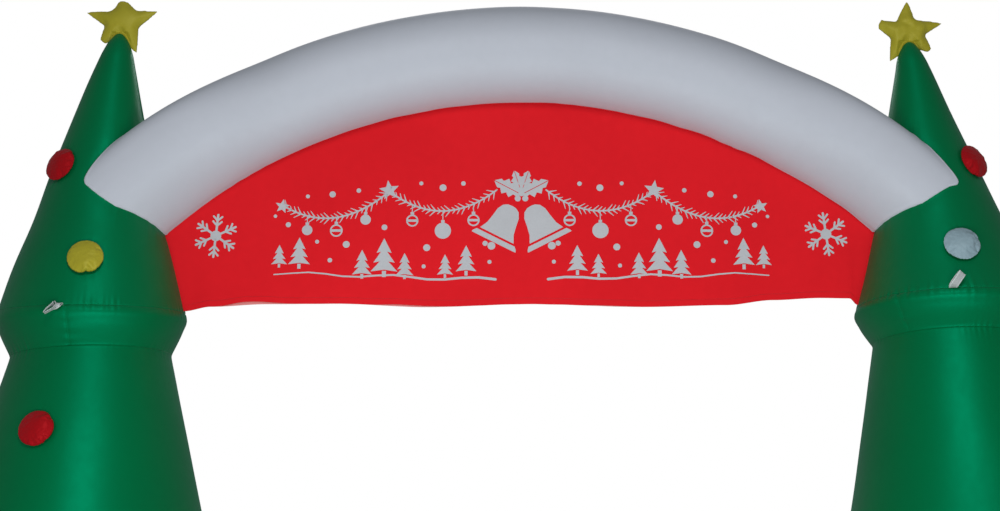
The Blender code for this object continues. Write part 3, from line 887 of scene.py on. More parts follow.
def tube_skin(turns, ends):
    """The tube's skin, with puckers where the banner and the towers are sewn to it."""
    angles = tube_angles(turns, ends)
    along = angles * ARCH_RADIUS
    turn = turns[None, :] + 0 * angles
    away = {
        "banner": np.abs(turn - math.pi) * TUBE_RADIUS,
        "seam": np.abs((turn - TUBE_SEAM_TURN + math.pi) % TAU - math.pi) * TUBE_RADIUS,
        "left": along - along[0],
        "right": along[-1] - along,
    }
    relief = tube_relief(along, turn, away)
    points = np.empty((*angles.shape, 3))
    for i, j in np.ndindex(angles.shape):
        points[i, j] = tube_point(angles[i, j], turns[j], relief[i, j])
    roots = []
    for end, outer in ((0, -1), (-1, 1)):
        inside = points[end].mean(axis=0) + np.array((0.12 * outer, 0.0, -0.10))
        roots.append((points[end] + (inside - points[end]) * 0.12)[None])
    points = np.concatenate((roots[0], points, roots[1]))
    from_end = np.minimum(away["left"], away["right"])
    from_seam = np.minimum(away["banner"], away["seam"])
    run = np.where(from_end < from_seam, turn * TUBE_RADIUS, along)
    pads = ((1, 1), (0, 0))
    gap, run = (np.pad(values, pads, mode="edge") for values in (np.minimum(from_end, from_seam), run))
    uv = np.pad(np.stack((along, turn * TUBE_RADIUS), axis=-1), (*pads, (0, 0)), mode="edge")
    mesh = grid_mesh("arch_tube_skin", points, uv, cloths["white"], True, gap, run)
    piece = add_piece("arch_tube_skin", mesh, "white", "arch_tube")
    return piece


# Banner


def along_hem(x, column):
    """A column of the hem's table at x, smooth between its rows."""
    rows = np.array(HEM_ROWS)
    i = np.clip(np.searchsorted(rows[:, 0], x) - 1, 0, len(rows) - 2)
    share = smooth_share(x, rows[i, 0], rows[i + 1, 0])
    return rows[i, column] + (rows[i + 1, column] - rows[i, column]) * share


def joint_rise(x):
    """How much higher the tube's underside may lie where its joints flare."""
    angle = np.arcsin(np.abs(x) / (ARCH_RADIUS - TUBE_RADIUS))
    return BANNER_JOINT_RISE * smooth_share(angle, FLARE_START, FLARE_END)


def tube_underside(x, into):
    """The height of the tube's underside at x, or of a line that far inside it."""
    return ARCH_CENTRE_Z + np.sqrt((ARCH_RADIUS - TUBE_RADIUS + into) ** 2 - x * x)


def banner_y(x, z):
    """How far back the middle of the banner's cloth lies at (x, z)."""
    hem_z, top_z = along_hem(x, 1), tube_underside(x, BANNER_INTO_TUBE)
    down = np.clip((top_z - z) / (top_z - hem_z), 0.0, 1.02)
    hang = np.sin(math.pi * np.clip(down, 0, 1))
    trough = TROUGH_DEPTH * np.sin(TAU * (x + TROUGH_LEAN * down) / TROUGH_SPACING)
    y = along_hem(x, 2) * down**2 + trough * hang
    free = np.clip(2.2 * hang, 0, 1)
    y = y + SWELL_HEIGHT * swells(x, z, 71) * free
    gather = ripples(x, 95, 73, 0.2) * np.exp(-np.abs(top_z - BANNER_INTO_TUBE - z) / 0.05)
    flutter = ripples(x + 0.25 * (z - hem_z), 46, 77, 0.15) * np.exp(-np.abs(z - hem_z) / 0.07)
    pulls = ripples(z + 0.35 * np.abs(x), 60, 79, 0.2) * np.exp(-(1.15 - np.abs(x)) / 0.10)
    return y + GATHER_HEIGHT * gather + FLUTTER_HEIGHT * flutter + PULL_HEIGHT * pulls * free


def hem_slit(x):
    """How far the hem's front edge stands above its reverse."""
    total = np.zeros_like(x)
    for start, end, height in HEM_SLITS:
        middle = 0.35 * end + 0.65 * start
        total += height * smooth_share(x, start, middle) * (1 - smooth_share(x, middle, end))
    return total


def banner_side(tower, heights):
    """(x, z) of the banner's edge on a tower, at each height."""
    inwards = 1 if tower == "left" else -1
    reaches = []
    for height in heights:
        axis, radius, _ = tower_side(tower, height, 0.0, 0.001)
        reaches.append(axis + inwards * (radius - BANNER_INTO_TOWER))
    return np.stack((reaches, heights), axis=-1)


def banner_top(x):
    """The height of the banner's top edge, just inside the tube."""
    return tube_underside(x, BANNER_EDGE_INTO_TUBE + joint_rise(x))


def banner_grid():
    """(x, z) of the banner's columns and rows, from the hem up, between the towers and the tube."""
    u = np.linspace(0.0, 1.0, BANNER_COLUMNS + 1)
    v = np.concatenate((np.linspace(0, 0.06, 14)[:-1], np.linspace(0.06, 1.0, BANNER_ROWS - 12)))
    sides = []
    for tower, x in BANNER_ENDS.items():
        low = float(along_hem(np.array(x), 1))
        top = low
        for _ in range(12):
            top = float(banner_top(banner_side(tower, [top])[0, 0]))
        sides.append(banner_side(tower, low + (top - low) * v))
    left, right = sides
    hem_x = left[0, 0] + (right[0, 0] - left[0, 0]) * u
    top_x = left[-1, 0] + (right[-1, 0] - left[-1, 0]) * u
    hem = np.stack((hem_x, along_hem(hem_x, 1)), axis=-1)
    top = np.stack((top_x, banner_top(top_x)), axis=-1)
    left[0], right[0] = hem[0], hem[-1]
    u, v = u[None, :, None], v[:, None, None]
    low_corners = (1 - u) * hem[0] + u * hem[-1]
    high_corners = (1 - u) * top[0] + u * top[-1]
    across = (1 - u) * left[:, None] + u * right[:, None]
    return (1 - v) * (hem[None] - low_corners) + v * (top[None] - high_corners) + across


def hem_reverse(x):
    """The turned-up reverse of the hem, which shows below the front edge at the slits."""
    lower = along_hem(x, 1) + 0.0002
    levels = np.linspace(0.0, 1.0, 9)[:, None]
    heights = lower + (HEM_HEIGHT - 0.002) * levels
    behind = banner_y(x + 0 * levels, heights) + 0.0016 + 0.0022 * np.sin(math.pi * levels**0.8)
    points = np.stack((x + 0 * levels, behind, heights), axis=-1)
    mesh = grid_mesh("banner_hem_reverse", points, points[..., (0, 2)], cloths["reverse"])
    piece = add_piece("banner_hem_reverse", mesh, "red")
    piece.modifiers.new("cloth", "SOLIDIFY").thickness = REVERSE_THICKNESS
    return piece


def banner_cloth():
    """The banner: its cloth with the hem's step and slits, and the hem's reverse behind it."""
    flat = banner_grid()
    x, z = flat[..., 0], flat[..., 1].copy()
    above_hem = z - along_hem(x, 1)
    z += hem_slit(x) * np.clip(1 - above_hem / SLIT_REACH, 0, 1)
    middle = banner_y(x, z)
    fold = FOLD_STEP * (1 - smooth_share(above_hem, HEM_HEIGHT - 0.001, HEM_HEIGHT + 0.001))
    dip = 0.0012 * np.exp(-(((above_hem - HEM_HEIGHT + 0.002) / 0.0018) ** 2))
    front = np.stack((x, middle - CLOTH_HALF - fold + dip, z), axis=-1)
    back = np.stack((x, middle + CLOTH_HALF, z), axis=-1)
    gap = np.minimum(np.abs(above_hem - HEM_HEIGHT) + STITCH_INSET, 1.0)
    rows = [*range(2 * len(x)), 0]
    uv = np.stack((x, z), axis=-1)
    uv, gap, run = (np.concatenate((values, values[::-1]))[rows] for values in (uv, gap, x))
    points = np.concatenate((front, back[::-1]))[rows]
    mesh = grid_mesh("banner_cloth", points, uv, cloths["red"], False, gap, run)
    piece = add_piece("banner_cloth", mesh, "red", "banner")
    merge_doubles(mesh, 1e-6)

    reverse = hem_reverse(x[0])


def merge_doubles(mesh, distance):
    """Joins the points that meet, and keeps the cloth's cut edges sharp."""
    shape = bmesh.new()
    shape.from_mesh(mesh)
    bmesh.ops.remove_doubles(shape, verts=shape.verts, dist=distance)
    bmesh.ops.recalc_face_normals(shape, faces=shape.faces)
    shape.to_mesh(mesh)
    shape.free()
    mesh.shade_smooth()
    mesh.set_sharp_from_angle(angle=math.radians(50))


# Printed motifs, drawn in the banner's plane as (x, z) polygons


PRINT_CELL = 0.012
PRINT_STEP = 0.00005
PRINT_PROUD = 0.0004


class Print:
    """Collects flat polygons and lays them on the banner."""

    def __init__(self):
        self.shape = bmesh.new()
        self.count = 0
        self.layer = 0.0

    def polygon(self, points):
        """Adds a polygon, a hair above or below the last few, so that none share a plane."""
        self.count += 1
        lift = self.layer + PRINT_STEP * (self.count % 7)
        corners = [self.shape.verts.new((x, -lift, z)) for x, z in points]
        self.shape.faces.new(corners)

    def disc(self, x, z, radius, sides=24):
        turns = [TAU * i / sides for i in range(sides)]
        self.polygon([(x + radius * math.cos(t), z + radius * math.sin(t)) for t in turns])

    def ring(self, x, z, radius, width, sides=28):
        turns = [TAU * i / sides for i in range(sides + 1)]
        for a, b in zip(turns, turns[1:]):
            corners = ((radius - width, a), (radius, a), (radius, b), (radius - width, b))
            self.polygon([(x + r * math.cos(t), z + r * math.sin(t)) for r, t in corners])

    def stroke(self, points, widths):
        """A line of changing width with round ends."""
        count = len(points)
        for i in range(count - 1):
            sides = []
            for k in (i, i + 1):
                before, after = points[max(0, k - 1)], points[min(count - 1, k + 1)]
                dx, dz = after[0] - before[0], after[1] - before[1]
                length = math.hypot(dx, dz)
                half = widths(k / (count - 1)) / 2
                sides.append((-dz / length * half, dx / length * half))
            (ax, az), (bx, bz) = sides
            (px, pz), (qx, qz) = points[i], points[i + 1]
            self.polygon([(px + ax, pz + az), (px - ax, pz - az), (qx - bx, qz - bz), (qx + bx, qz + bz)])
        for end in (0, count - 1):
            self.disc(*points[end], widths(end / (count - 1)) / 2 * 0.99, 14)

    def lay(self, name, material):
        """Cuts the polygons fine and lays them on the banner, a hair in front of its cloth."""
        shape = self.shape
        bmesh.ops.triangulate(shape, faces=shape.faces)
        xs = [vertex.co.x for vertex in shape.verts]
        zs = [vertex.co.z for vertex in shape.verts]
        for axis, low, high in ((0, min(xs), max(xs)), (2, min(zs), max(zs))):
            for k in range(1, int((high - low) / PRINT_CELL) + 1):
                spot, facing = Vector(), Vector()
                spot[axis], facing[axis] = low + PRINT_CELL * k, 1.0
                everything = shape.verts[:] + shape.edges[:] + shape.faces[:]
                bmesh.ops.bisect_plane(shape, geom=everything, dist=1e-6, plane_co=spot, plane_no=facing)
        bmesh.ops.triangulate(shape, faces=shape.faces)
        bmesh.ops.recalc_face_normals(shape, faces=shape.faces)
        x = np.array([vertex.co.x for vertex in shape.verts])
        z = np.array([vertex.co.z for vertex in shape.verts])
        y = banner_y(x, z) - CLOTH_HALF - PRINT_PROUD
        for vertex, depth in zip(shape.verts, y):
            vertex.co.y += depth
        for face in shape.faces:
            if face.normal.y > 0:
                face.normal_flip()
        mesh = bpy.data.meshes.new(name)
        shape.to_mesh(mesh)
        shape.free()
        mesh.materials.append(material)
        mesh.shade_smooth()
        return add_piece(name, mesh, "white")


def turned(points, x, z, degrees, size=1.0, mirror=1):
    """Points moved to (x, z), turned clockwise, scaled, and mirrored in x where mirror is -1."""
    c, s = math.cos(math.radians(degrees)), math.sin(math.radians(degrees))
    return [(x + mirror * size * (px * c + pz * s), z + size * (pz * c - px * s)) for px, pz in points]


def snowflake(sheet, x, z, size, tilt):
    """Six arms with two pairs of twigs each, round a hub."""
    sheet.disc(x, z, 0.25 * size, 28)
    for k in range(6):
        heading = tilt + 60 * k
        tip = turned([(0, 0.2), (0, 0.6), (0, 1.0)], x, z, heading, size)
        sheet.stroke(tip, lambda t: 0.105 * size)
        for root, reach in ((0.48, 0.20), (0.72, 0.20)):
            for side in (-1, 1):
                twig = [(0, root), (side * reach * 0.5, root + reach * 0.5), (side * reach, root + reach)]
                sheet.stroke(turned(twig, x, z, heading, size), lambda t: 0.09 * size)


def five_star(sheet, x, z, radius, tilt=0.0):
    """A five-pointed star."""
    corners = []
    for k in range(10):
        turn = math.radians(36 * k + tilt)
        reach = radius if k % 2 == 0 else 0.44 * radius
        corners.append((x + reach * math.sin(turn), z + reach * math.cos(turn)))
    for k in range(0, 10, 2):
        sheet.polygon([corners[k - 1], corners[k], corners[(k + 1) % 10]])
    sheet.polygon(corners[1::2])


HOLLY_EDGE = (
    # along the leaf, half width
    (0.0, 0.0), (0.10, 0.13), (0.24, 0.11), (0.34, 0.27), (0.48, 0.16),
    (0.60, 0.27), (0.72, 0.12), (0.82, 0.15), (1.0, 0.0),
)
HOLLY_RIB_HALF = 0.012


def holly_leaf(sheet, x, z, heading, size, mirror):
    """A prickly leaf with a bare midrib."""
    for side in (-1, 1):
        edge = [(side * (width + HOLLY_RIB_HALF), along) for along, width in HOLLY_EDGE]
        rib = [(side * HOLLY_RIB_HALF, along) for along, _ in HOLLY_EDGE]
        for k in range(len(HOLLY_EDGE) - 1):
            corners = [rib[k], edge[k], edge[k + 1], rib[k + 1]]
            corners = [c for i, c in enumerate(corners) if c != corners[i - 1]]
            sheet.polygon(turned(corners, x, z, heading, size, mirror))


BELL_HALF = (
    # height, half width
    (0.05, 0.56), (0.12, 0.54), (0.22, 0.43), (0.40, 0.34), (0.60, 0.30),
    (0.80, 0.27), (0.93, 0.20), (0.99, 0.10), (1.00, 0.02),
)
BELL_PARTS = (
    # heights of the lip's strips, then of the body's
    (0.05, 0.10, 0.17),
    (0.22, 0.31, 0.40, 0.50, 0.60, 0.70, 0.80, 0.87, 0.93, 0.97, 0.99, 1.00),
)


def bell(sheet, x, z, tilt, size, mirror):
    """A bell seen from the side, with a bare band over its lip, and its clapper."""
    heights, halves = zip(*BELL_HALF)
    for part in BELL_PARTS:
        for low, high in zip(part, part[1:]):
            a, b = np.interp((low, high), heights, halves)
            sheet.polygon(turned([(-a, low), (a, low), (b, high), (-b, high)], x, z, tilt, size, mirror))
    sheet.disc(*turned([(0, -0.05)], x, z, tilt, size, mirror)[0], 0.09 * size, 18)


def fir_tree(sheet, x, z, height):
    """A little fir: three tiers over a trunk."""
    for low, high, half in ((0.14, 0.52, 0.34), (0.37, 0.76, 0.27), (0.62, 1.0, 0.19)):
        tier = [(-half, low), (0.0, low + 0.05), (half, low), (0.0, high)]
        sheet.polygon(turned([tier[0], tier[1], tier[3]], x, z, 0, height))
        sheet.polygon(turned([tier[1], tier[2], tier[3]], x, z, 0, height))
    sheet.polygon(turned([(-0.05, 0), (0.05, 0), (0.05, 0.16), (-0.05, 0.16)], x, z, 0, height))


def swag(sheet, start, end, sag, needles):
    """A hanging garland of fir twigs between two points."""
    def at(t):
        return (
            start[0] + (end[0] - start[0]) * t,
            start[1] + (end[1] - start[1]) * t - 4 * sag * t * (1 - t),
        )

    sheet.stroke([at(i / 28) for i in range(29)], lambda t: 0.0055)
    for k in range(needles):
        t = (k + 0.5) / needles
        (ax, az), (bx, bz) = at(t), at(t + 0.01)
        slope = math.degrees(math.atan2(bx - ax, bz - az))
        for side in (-1, 1):
            length = 0.027 - 0.006 * (k % 3)
            needle = [(0, 0), (0, length / 2), (0, length)]
            sheet.stroke(turned(needle, ax, az, slope + side * 47), lambda share: 0.0052 - 0.0030 * share)


def box(sheet, x, z, half, height):
    """An upright rectangle about x, standing on z."""
    sheet.polygon([(x - half, z), (x + half, z), (x + half, z + height), (x - half, z + height)])


def hanging_ball(sheet, x, top, drop, radius, banded):
    """A ball on a thread, with its cap, plain or banded."""
    sheet.stroke([(x, top), (x, top - drop / 2), (x, top - drop)], lambda t: 0.0030)
    z = top - drop - radius - 0.006
    box(sheet, x, z + radius, 0.006, 0.009)
    if not banded:
        sheet.disc(x, z, radius)
        return
    sheet.ring(x, z, radius, 0.0052)
    band = 0.2 * radius
    box(sheet, x, z - band, math.sqrt(0.9 * radius**2 - (0.25 * radius) ** 2), 2 * band)


# The frieze: a pair of bells under holly, swags with hanging balls, firs and falling snow.
FRIEZE_X = 0.005
FRIEZE_Z = 2.240
SWAGS = (
    # start x, z, end x, z, sag, needles
    (0.085, 0.128, 0.455, 0.122, 0.072, 22),
    (0.455, 0.122, 0.815, 0.070, 0.066, 22),
)
BALLS = (
    # x, top, drop, radius, banded
    (0.165, 0.078, 0.030, 0.021, True),
    (0.270, 0.052, 0.034, 0.028, False),
    (0.375, 0.076, 0.030, 0.021, True),
    (0.535, 0.068, 0.022, 0.018, False),
    (0.635, 0.032, 0.020, 0.022, True),
    (0.735, 0.032, 0.022, 0.018, False),
)
FIRS = (
    # x, foot, height
    (0.190, -0.172, 0.105),
    (0.262, -0.180, 0.082),
    (0.470, -0.178, 0.135),
    (0.545, -0.184, 0.100),
    (0.400, -0.184, 0.090),
    (0.760, -0.150, 0.110),
    (0.828, -0.146, 0.080),
)
SNOW = (
    # x, z, radius
    (0.125, -0.060, 0.009), (0.325, -0.075, 0.012), (0.335, -0.140, 0.007), (0.470, -0.005, 0.010),
    (0.600, -0.065, 0.012), (0.655, -0.120, 0.008), (0.700, -0.055, 0.007), (0.800, 0.005, 0.009),
    (0.845, 0.035, 0.006), (0.560, 0.125, 0.008), (0.650, 0.112, 0.011), (0.735, 0.105, 0.007),
    (0.200, 0.150, 0.008), (0.270, 0.135, 0.012), (0.345, 0.150, 0.007), (0.110, -0.125, 0.007),
)


def banner_print():
    """The snowflakes at both ends and the frieze between them."""
    sheet = Print()
    snowflake(sheet, -1.042, 2.205, 0.074, 5.0)
    snowflake(sheet, 1.048, 2.212, 0.074, -6.5)
    for side in (-1, 1):
        sheet.layer = 0.0004 if side == 1 else 0.0
        for x0, z0, x1, z1, sag, needles in SWAGS:
            ends = [(FRIEZE_X + side * x, FRIEZE_Z + z) for x, z in ((x0, z0), (x1, z1))]
            swag(sheet, *ends, sag, needles)
        for x, top, drop, radius, banded in BALLS:
            hanging_ball(sheet, FRIEZE_X + side * x, FRIEZE_Z + top, drop, radius, banded)
        for x, foot, height in FIRS:
            fir_tree(sheet, FRIEZE_X + side * x, FRIEZE_Z + foot, height)
        for x, z, radius in SNOW:
            sheet.disc(FRIEZE_X + side * x, FRIEZE_Z + z, radius, 18)
        five_star(sheet, FRIEZE_X + side * 0.455, FRIEZE_Z + 0.126, 0.036, 8 * side)
        five_star(sheet, FRIEZE_X + side * 0.822, FRIEZE_Z + 0.070, 0.026, -10 * side)
        holly_leaf(sheet, FRIEZE_X, FRIEZE_Z + 0.112, 62, 0.105, side)
        holly_leaf(sheet, FRIEZE_X, FRIEZE_Z + 0.120, 18, 0.080, side)
        bell(sheet, FRIEZE_X + side * 0.100, FRIEZE_Z - 0.062, -27, 0.150, side)
        sheet.disc(FRIEZE_X + side * 0.013, FRIEZE_Z + 0.098, 0.0105, 18)
        drift = [(0.09 + 0.058 * i, -0.186 + 0.006 * math.sin(1.3 * i) + 0.0016 * i) for i in range(14)]
        sheet.stroke([(FRIEZE_X + side * x, FRIEZE_Z + z) for x, z in drift], lambda t: 0.009 - 0.005 * t)
    sheet.layer = 0.0008
    sheet.disc(FRIEZE_X, FRIEZE_Z + 0.116, 0.0105, 18)
    return sheet.lay("banner_print", cloths["print"])


THREAD_STEP = 0.0065
THREAD_LENGTH = 0.0038
THREAD_SECTION = ((0.0, -0.0005), (-0.0006, -0.0004), (-0.0006, 0.0004), (0.0, 0.0005))
BOX_FACES = ((0, 1, 5, 4), (1, 2, 6, 5), (2, 3, 7, 6), (3, 0, 4, 7), (3, 2, 1, 0), (4, 5, 6, 7))


def hem_stitches():
    """The row of stitches that holds the hem, each a short raised thread."""
    vertices, faces = [], []
    above_hem = HEM_HEIGHT - 0.003
    for x in np.arange(-1.128, 1.128, THREAD_STEP):
        faces += [tuple(len(vertices) + k for k in quad) for quad in BOX_FACES]
        for end in (-0.5, 0.5):
            at = np.array([x + 0.0021 + end * THREAD_LENGTH])
            z = along_hem(at, 1) + above_hem + hem_slit(at) * (1 - above_hem / SLIT_REACH)
            y = banner_y(at, z) - CLOTH_HALF - 0.0003
            vertices += [(at[0], y[0] + dy, z[0] + dz) for dy, dz in THREAD_SECTION]
    mesh = bpy.data.meshes.new("banner_stitches")
    mesh.from_pydata(vertices, [], faces)
    mesh.materials.append(cloths["thread"])
    return add_piece("banner_stitches", mesh, "red")


# Stars and baubles


def star_outline(arms):
    """Points round a star, clockwise from its top arm, as (across, up)."""
    corners = []
    for heading, reach, half_angle, notch_heading, notch_reach in arms:
        corners.append((heading - half_angle, reach * 0.98))
        corners.append((heading, reach))
        corners.append((heading + half_angle, reach * 0.98))
        corners.append((notch_heading, notch_reach))
    return np.array([(r * math.sin(math.radians(h)), r * math.cos(math.radians(h))) for h, r in corners])


def fine_outline(outline, count, rounding):
    """The outline with evenly spaced points and slightly rounded corners."""
    closed = np.vstack((outline, outline[:1]))
    run = np.concatenate(([0.0], np.cumsum(np.hypot(*np.diff(closed, axis=0).T))))
    at = np.arange(count) / count * run[-1]
    points = np.stack([np.interp(at, run, closed[:, k]) for k in range(2)], axis=-1)
    for _ in range(rounding):
        points = 0.5 * points + 0.25 * (np.roll(points, 1, axis=0) + np.roll(points, -1, axis=0))
    return points


def lattice(outline, spacing):
    """The outline's points, then an even triangular lattice of points inside it, and the triangles."""
    rim = np.vstack((outline, outline[:1]))
    low, high = outline.min(axis=0), outline.max(axis=0)
    inside = []
    rows = np.arange(low[1], high[1], spacing * math.sqrt(0.75))
    for number, z in enumerate(rows):
        for x in np.arange(low[0] + spacing * (number % 2) / 2, high[0], spacing):
            (ax, az), (bx, bz) = rim[:-1].T, rim[1:].T
            crosses = (az > z) != (bz > z)
            beyond = x < ax + (z - az) * (bx - ax) / np.where(bz == az, 1e-9, bz - az)
            away = np.hypot(outline[:, 0] - x, outline[:, 1] - z).min()
            if (crosses & beyond).sum() % 2 and away > 0.6 * spacing:
                inside.append((x, z))
    points = [Vector(point) for point in (*outline, *inside)]
    count = len(outline)
    border = [(i, (i + 1) % count) for i in range(count)]
    cut = delaunay_2d_cdt(points, border, [], 1, 1e-7)
    return np.array([tuple(point) for point in cut[0]]), [tuple(face) for face in cut[2]]


def flat_pillow(name, outline, spacing, material):
    """Two layers of cloth sewn together round an outline, a little apart inside it."""
    spots, triangles = lattice(outline, spacing)
    count = len(outline)
    gap = np.array([np.hypot(*(outline - spot).T).min() for spot in spots])
    gap[:count] = 0.0
    rise = 0.004 * np.sqrt(np.clip(gap / 0.03, 0, 1))
    front = [(x, -y, z) for (x, z), y in zip(spots, rise)]
    back = [(x, y, z) for (x, z), y in zip(spots, rise)]
    vertices = front + back[count:]
    behind = [i if i < count else i + len(spots) - count for i in range(len(spots))]
    faces = list(triangles) + [tuple(behind[i] for i in face[::-1]) for face in triangles]
    mesh = bpy.data.meshes.new(name)
    mesh.from_pydata(vertices, [], faces)
    mesh.materials.append(material)
    corners = np.empty(len(mesh.loops), dtype=np.int32)
    mesh.loops.foreach_get("vertex_index", corners)
    flat = np.array(vertices)[:, (0, 2)]
    layer = mesh.uv_layers.new(name="cloth")
    layer.data.foreach_set("uv", flat[corners].astype(np.float32).ravel())
    both = np.concatenate((gap, gap[count:])).astype(np.float32)
    mesh.attributes.new("seam_gap", "FLOAT", "POINT").data.foreach_set("value", both)
    run = np.arctan2(flat[:, 0], flat[:, 1]) * float(np.hypot(*outline.T).mean())
    mesh.attributes.new("seam_run", "FLOAT", "POINT").data.foreach_set("value", run.astype(np.float32))
    recalculate_normals(mesh)
    mesh.shade_smooth()
    return mesh


def recalculate_normals(mesh):
    """Turns every face of a closed mesh outwards."""
    shape = bmesh.new()
    shape.from_mesh(mesh)
    bmesh.ops.recalc_face_normals(shape, faces=shape.faces)
    shape.to_mesh(mesh)
    shape.free()


def inflate(mesh, pressure, frames):
    """Blows a flat pillow up with a cloth simulation and returns its points."""
    piece = bpy.data.objects.new("inflating", mesh.copy())
    bpy.context.scene.collection.objects.link(piece)
    cloth = piece.modifiers.new("Cloth", "CLOTH")
    for key, value in PILLOW_CLOTH.items():
        setattr(cloth.settings, key, value)
    cloth.settings.uniform_pressure_force = pressure
    cloth.settings.effector_weights.gravity = 0.0
    cloth.collision_settings.use_collision = False
    cloth.point_cache.frame_start = 1
    cloth.point_cache.frame_end = frames
    scene = bpy.context.scene
    for number in range(1, frames + 1):
        scene.frame_set(number)
    blown = piece.evaluated_get(bpy.context.evaluated_depsgraph_get()).to_mesh()
    points = np.empty(len(mesh.vertices) * 3)
    blown.vertices.foreach_get("co", points)
    bpy.data.objects.remove(piece)
    scene.frame_set(1)
    return points.reshape(-1, 3)


def relax(points, mesh, rounds):
    """Evens the points out with their neighbours."""
    pairs = np.empty(len(mesh.edges) * 2, dtype=np.int32)
    mesh.edges.foreach_get("vertices", pairs)
    first, second = pairs.reshape(-1, 2).T
    shared = np.bincount(pairs, minlength=len(points))[:, None]
    for _ in range(rounds):
        total = np.zeros_like(points)
        np.add.at(total, first, points[second])
        np.add.at(total, second, points[first])
        points = 0.4 * points + 0.6 * total / shared
    return points


def blow_up(mesh, outline, thickness, pressure, frames, seed, rounds):
    """Inflates a pillow, then fits it to its outline's size and its thickness."""
    flat = np.empty(len(mesh.vertices) * 3)
    mesh.vertices.foreach_get("co", flat)
    flat = flat.reshape(-1, 3)
    draw = np.random.default_rng(seed)
    jitter = draw.normal(0.0, 0.00035, len(flat))
    mesh.vertices.foreach_set("co", (flat + np.stack((0 * jitter, jitter, 0 * jitter), axis=-1)).ravel())
    points = relax(inflate(mesh, pressure, frames), mesh, rounds)
    points -= points.mean(axis=0)
    for axis, side in ((0, outline[:, 0]), (2, outline[:, 1])):
        share = np.ptp(side) / np.ptp(points[:, axis])
        points[:, axis] = (points[:, axis] - points[:, axis].min()) * share + side.min()
    points[:, 1] *= thickness / np.ptp(points[:, 1])
    return points


def finish_pillow(name, mesh, points, slot, node):
    """Puts the blown-up points into the mesh and makes it a finely divided padded piece."""
    mesh.vertices.foreach_set("co", points.astype(np.float32).ravel())
    mesh.update()
    piece = add_piece(name, mesh, slot, node)
    smooth = piece.modifiers.new("fine", "SUBSURF")
    smooth.levels = 1
    smooth.render_levels = 1
    return piece


def make_star(tower):
    """A puffed star behind the tower's tip."""
    spec = STARS[tower]
    name = f"{tower}_star_pillow"
    outline = fine_outline(star_outline(spec["arms"]), STAR_RIM_POINTS, 1)
    mesh = flat_pillow(name, outline, STAR_SPACING, cloths["yellow"])
    points = blow_up(mesh, outline, STAR_THICKNESS, STAR_PRESSURE, STAR_FRAMES, STAR_SEEDS[tower], 5)
    points += (spec["x"], STAR_BACK, spec["z"])
    tip_z = TOWERS[tower]["top_cone"][0][0]
    for k, (x, y, z) in enumerate(points):
        axis, radius, _ = tower_side(tower, z - 0.004, x, -1.0)
        reach = math.hypot(max(0.0, abs(x - axis) - radius), max(0.0, z - tip_z))
        inside = math.sqrt(max(0.0, radius**2 - min(radius, abs(x - axis)) ** 2))
        limit = max(0.0015, inside - 0.003) + STAR_TIP_SLOPE * reach
        points[k, 1] = math.copysign(min(abs(y), limit), y)
    return finish_pillow(name, mesh, points, "yellow", f"{tower}_star")


def make_bauble(name, tower, z, heading, slot, seed):
    """A round pillow sewn to the tower, its back against it."""
    turns = np.arange(BAUBLE_SIDES) / BAUBLE_SIDES * TAU
    outline = np.stack((BAUBLE_RADIUS * np.sin(turns), BAUBLE_RADIUS * np.cos(turns)), axis=-1)
    mesh = flat_pillow(f"{name}_pillow", outline, BAUBLE_SPACING, cloths[slot])
    points = blow_up(mesh, outline, BAUBLE_THICKNESS, BAUBLE_PRESSURE, BAUBLE_FRAMES, seed, 1)
    spin = np.array(Matrix.Rotation(1.9 * seed, 3, "Y"))
    points = points @ spin.T
    points[:, 1] = np.where(points[:, 1] < 0, points[:, 1] * 0.5, points[:, 1])
    peel = Matrix.Rotation(math.radians(BAUBLE_PEEL * heading), 4, "Z")
    matrix = surface_frame(tower, z, heading) @ Matrix.Translation(Vector((0.0, BAUBLE_PROUD, 0.0))) @ peel
    matrix = np.array(matrix)
    points = points @ matrix[:3, :3].T + matrix[:3, 3]
    for k, (px, py, pz) in enumerate(points):
        axis, radius, _ = tower_side(tower, pz, px, py)
        share = (radius + BAUBLE_CLEARANCE) / math.hypot(px - axis, py)
        if share > 1:
            points[k, :2] = (axis + (px - axis) * share, py * share)
    return finish_pillow(f"{name}_pillow", mesh, points, slot, name)


# Guy loops


def loop_line(spec):
    """The ribbon's middle line and the direction of its width at each step, from seam to seam."""
    ridge = TOWERS[spec["tower"]]["top_cone"][-1]
    ridge_z = ridge[0] - ridge[3] * math.cos(math.radians(spec["heading"])) - ridge[4] / 2
    seam = surface_frame(spec["tower"], ridge_z + LOOP_RISE, spec["heading"])
    outwards = Vector((seam.col[1].x, seam.col[1].y, 0.0)).normalized()
    root = seam.translation + outwards * LOOP_CLEARANCE
    bend = outwards * LOOP_STAND_OUT
    lean = Vector(spec["lean"]).normalized() * spec["length"]
    wide_root, wide_tip = Vector((outwards.y, -outwards.x, 0.0)), Vector(spec["wide_tip"])
    middles, wides = [], []
    for i in range(2 * LOOP_STEPS + 1):
        turn = math.pi * i / (2 * LOOP_STEPS)
        share = math.sin(turn)
        middle = root + 2 * share * (1 - share) * bend + share**2 * lean
        forward = ((1 - 2 * share) * bend + share * lean).normalized()
        wide = wide_root.lerp(wide_tip, float(smooth_share(share, 0.1, 0.7)))
        across = forward.cross(wide).normalized()
        belly = RIBBON_CLOSE + (1 - RIBBON_CLOSE) * float(smooth_share(share, 0.0, 0.6))
        middles.append(middle + across * RIBBON_EYE / 2 * math.cos(turn) * belly)
        wides.append(across.cross(forward))
    tail = outwards * LOOP_TAIL
    middles = [middles[0] - tail, *middles, middles[-1] - tail]
    wides = [wides[0], *wides, wides[-1]]
    return np.array(middles), np.array(wides)


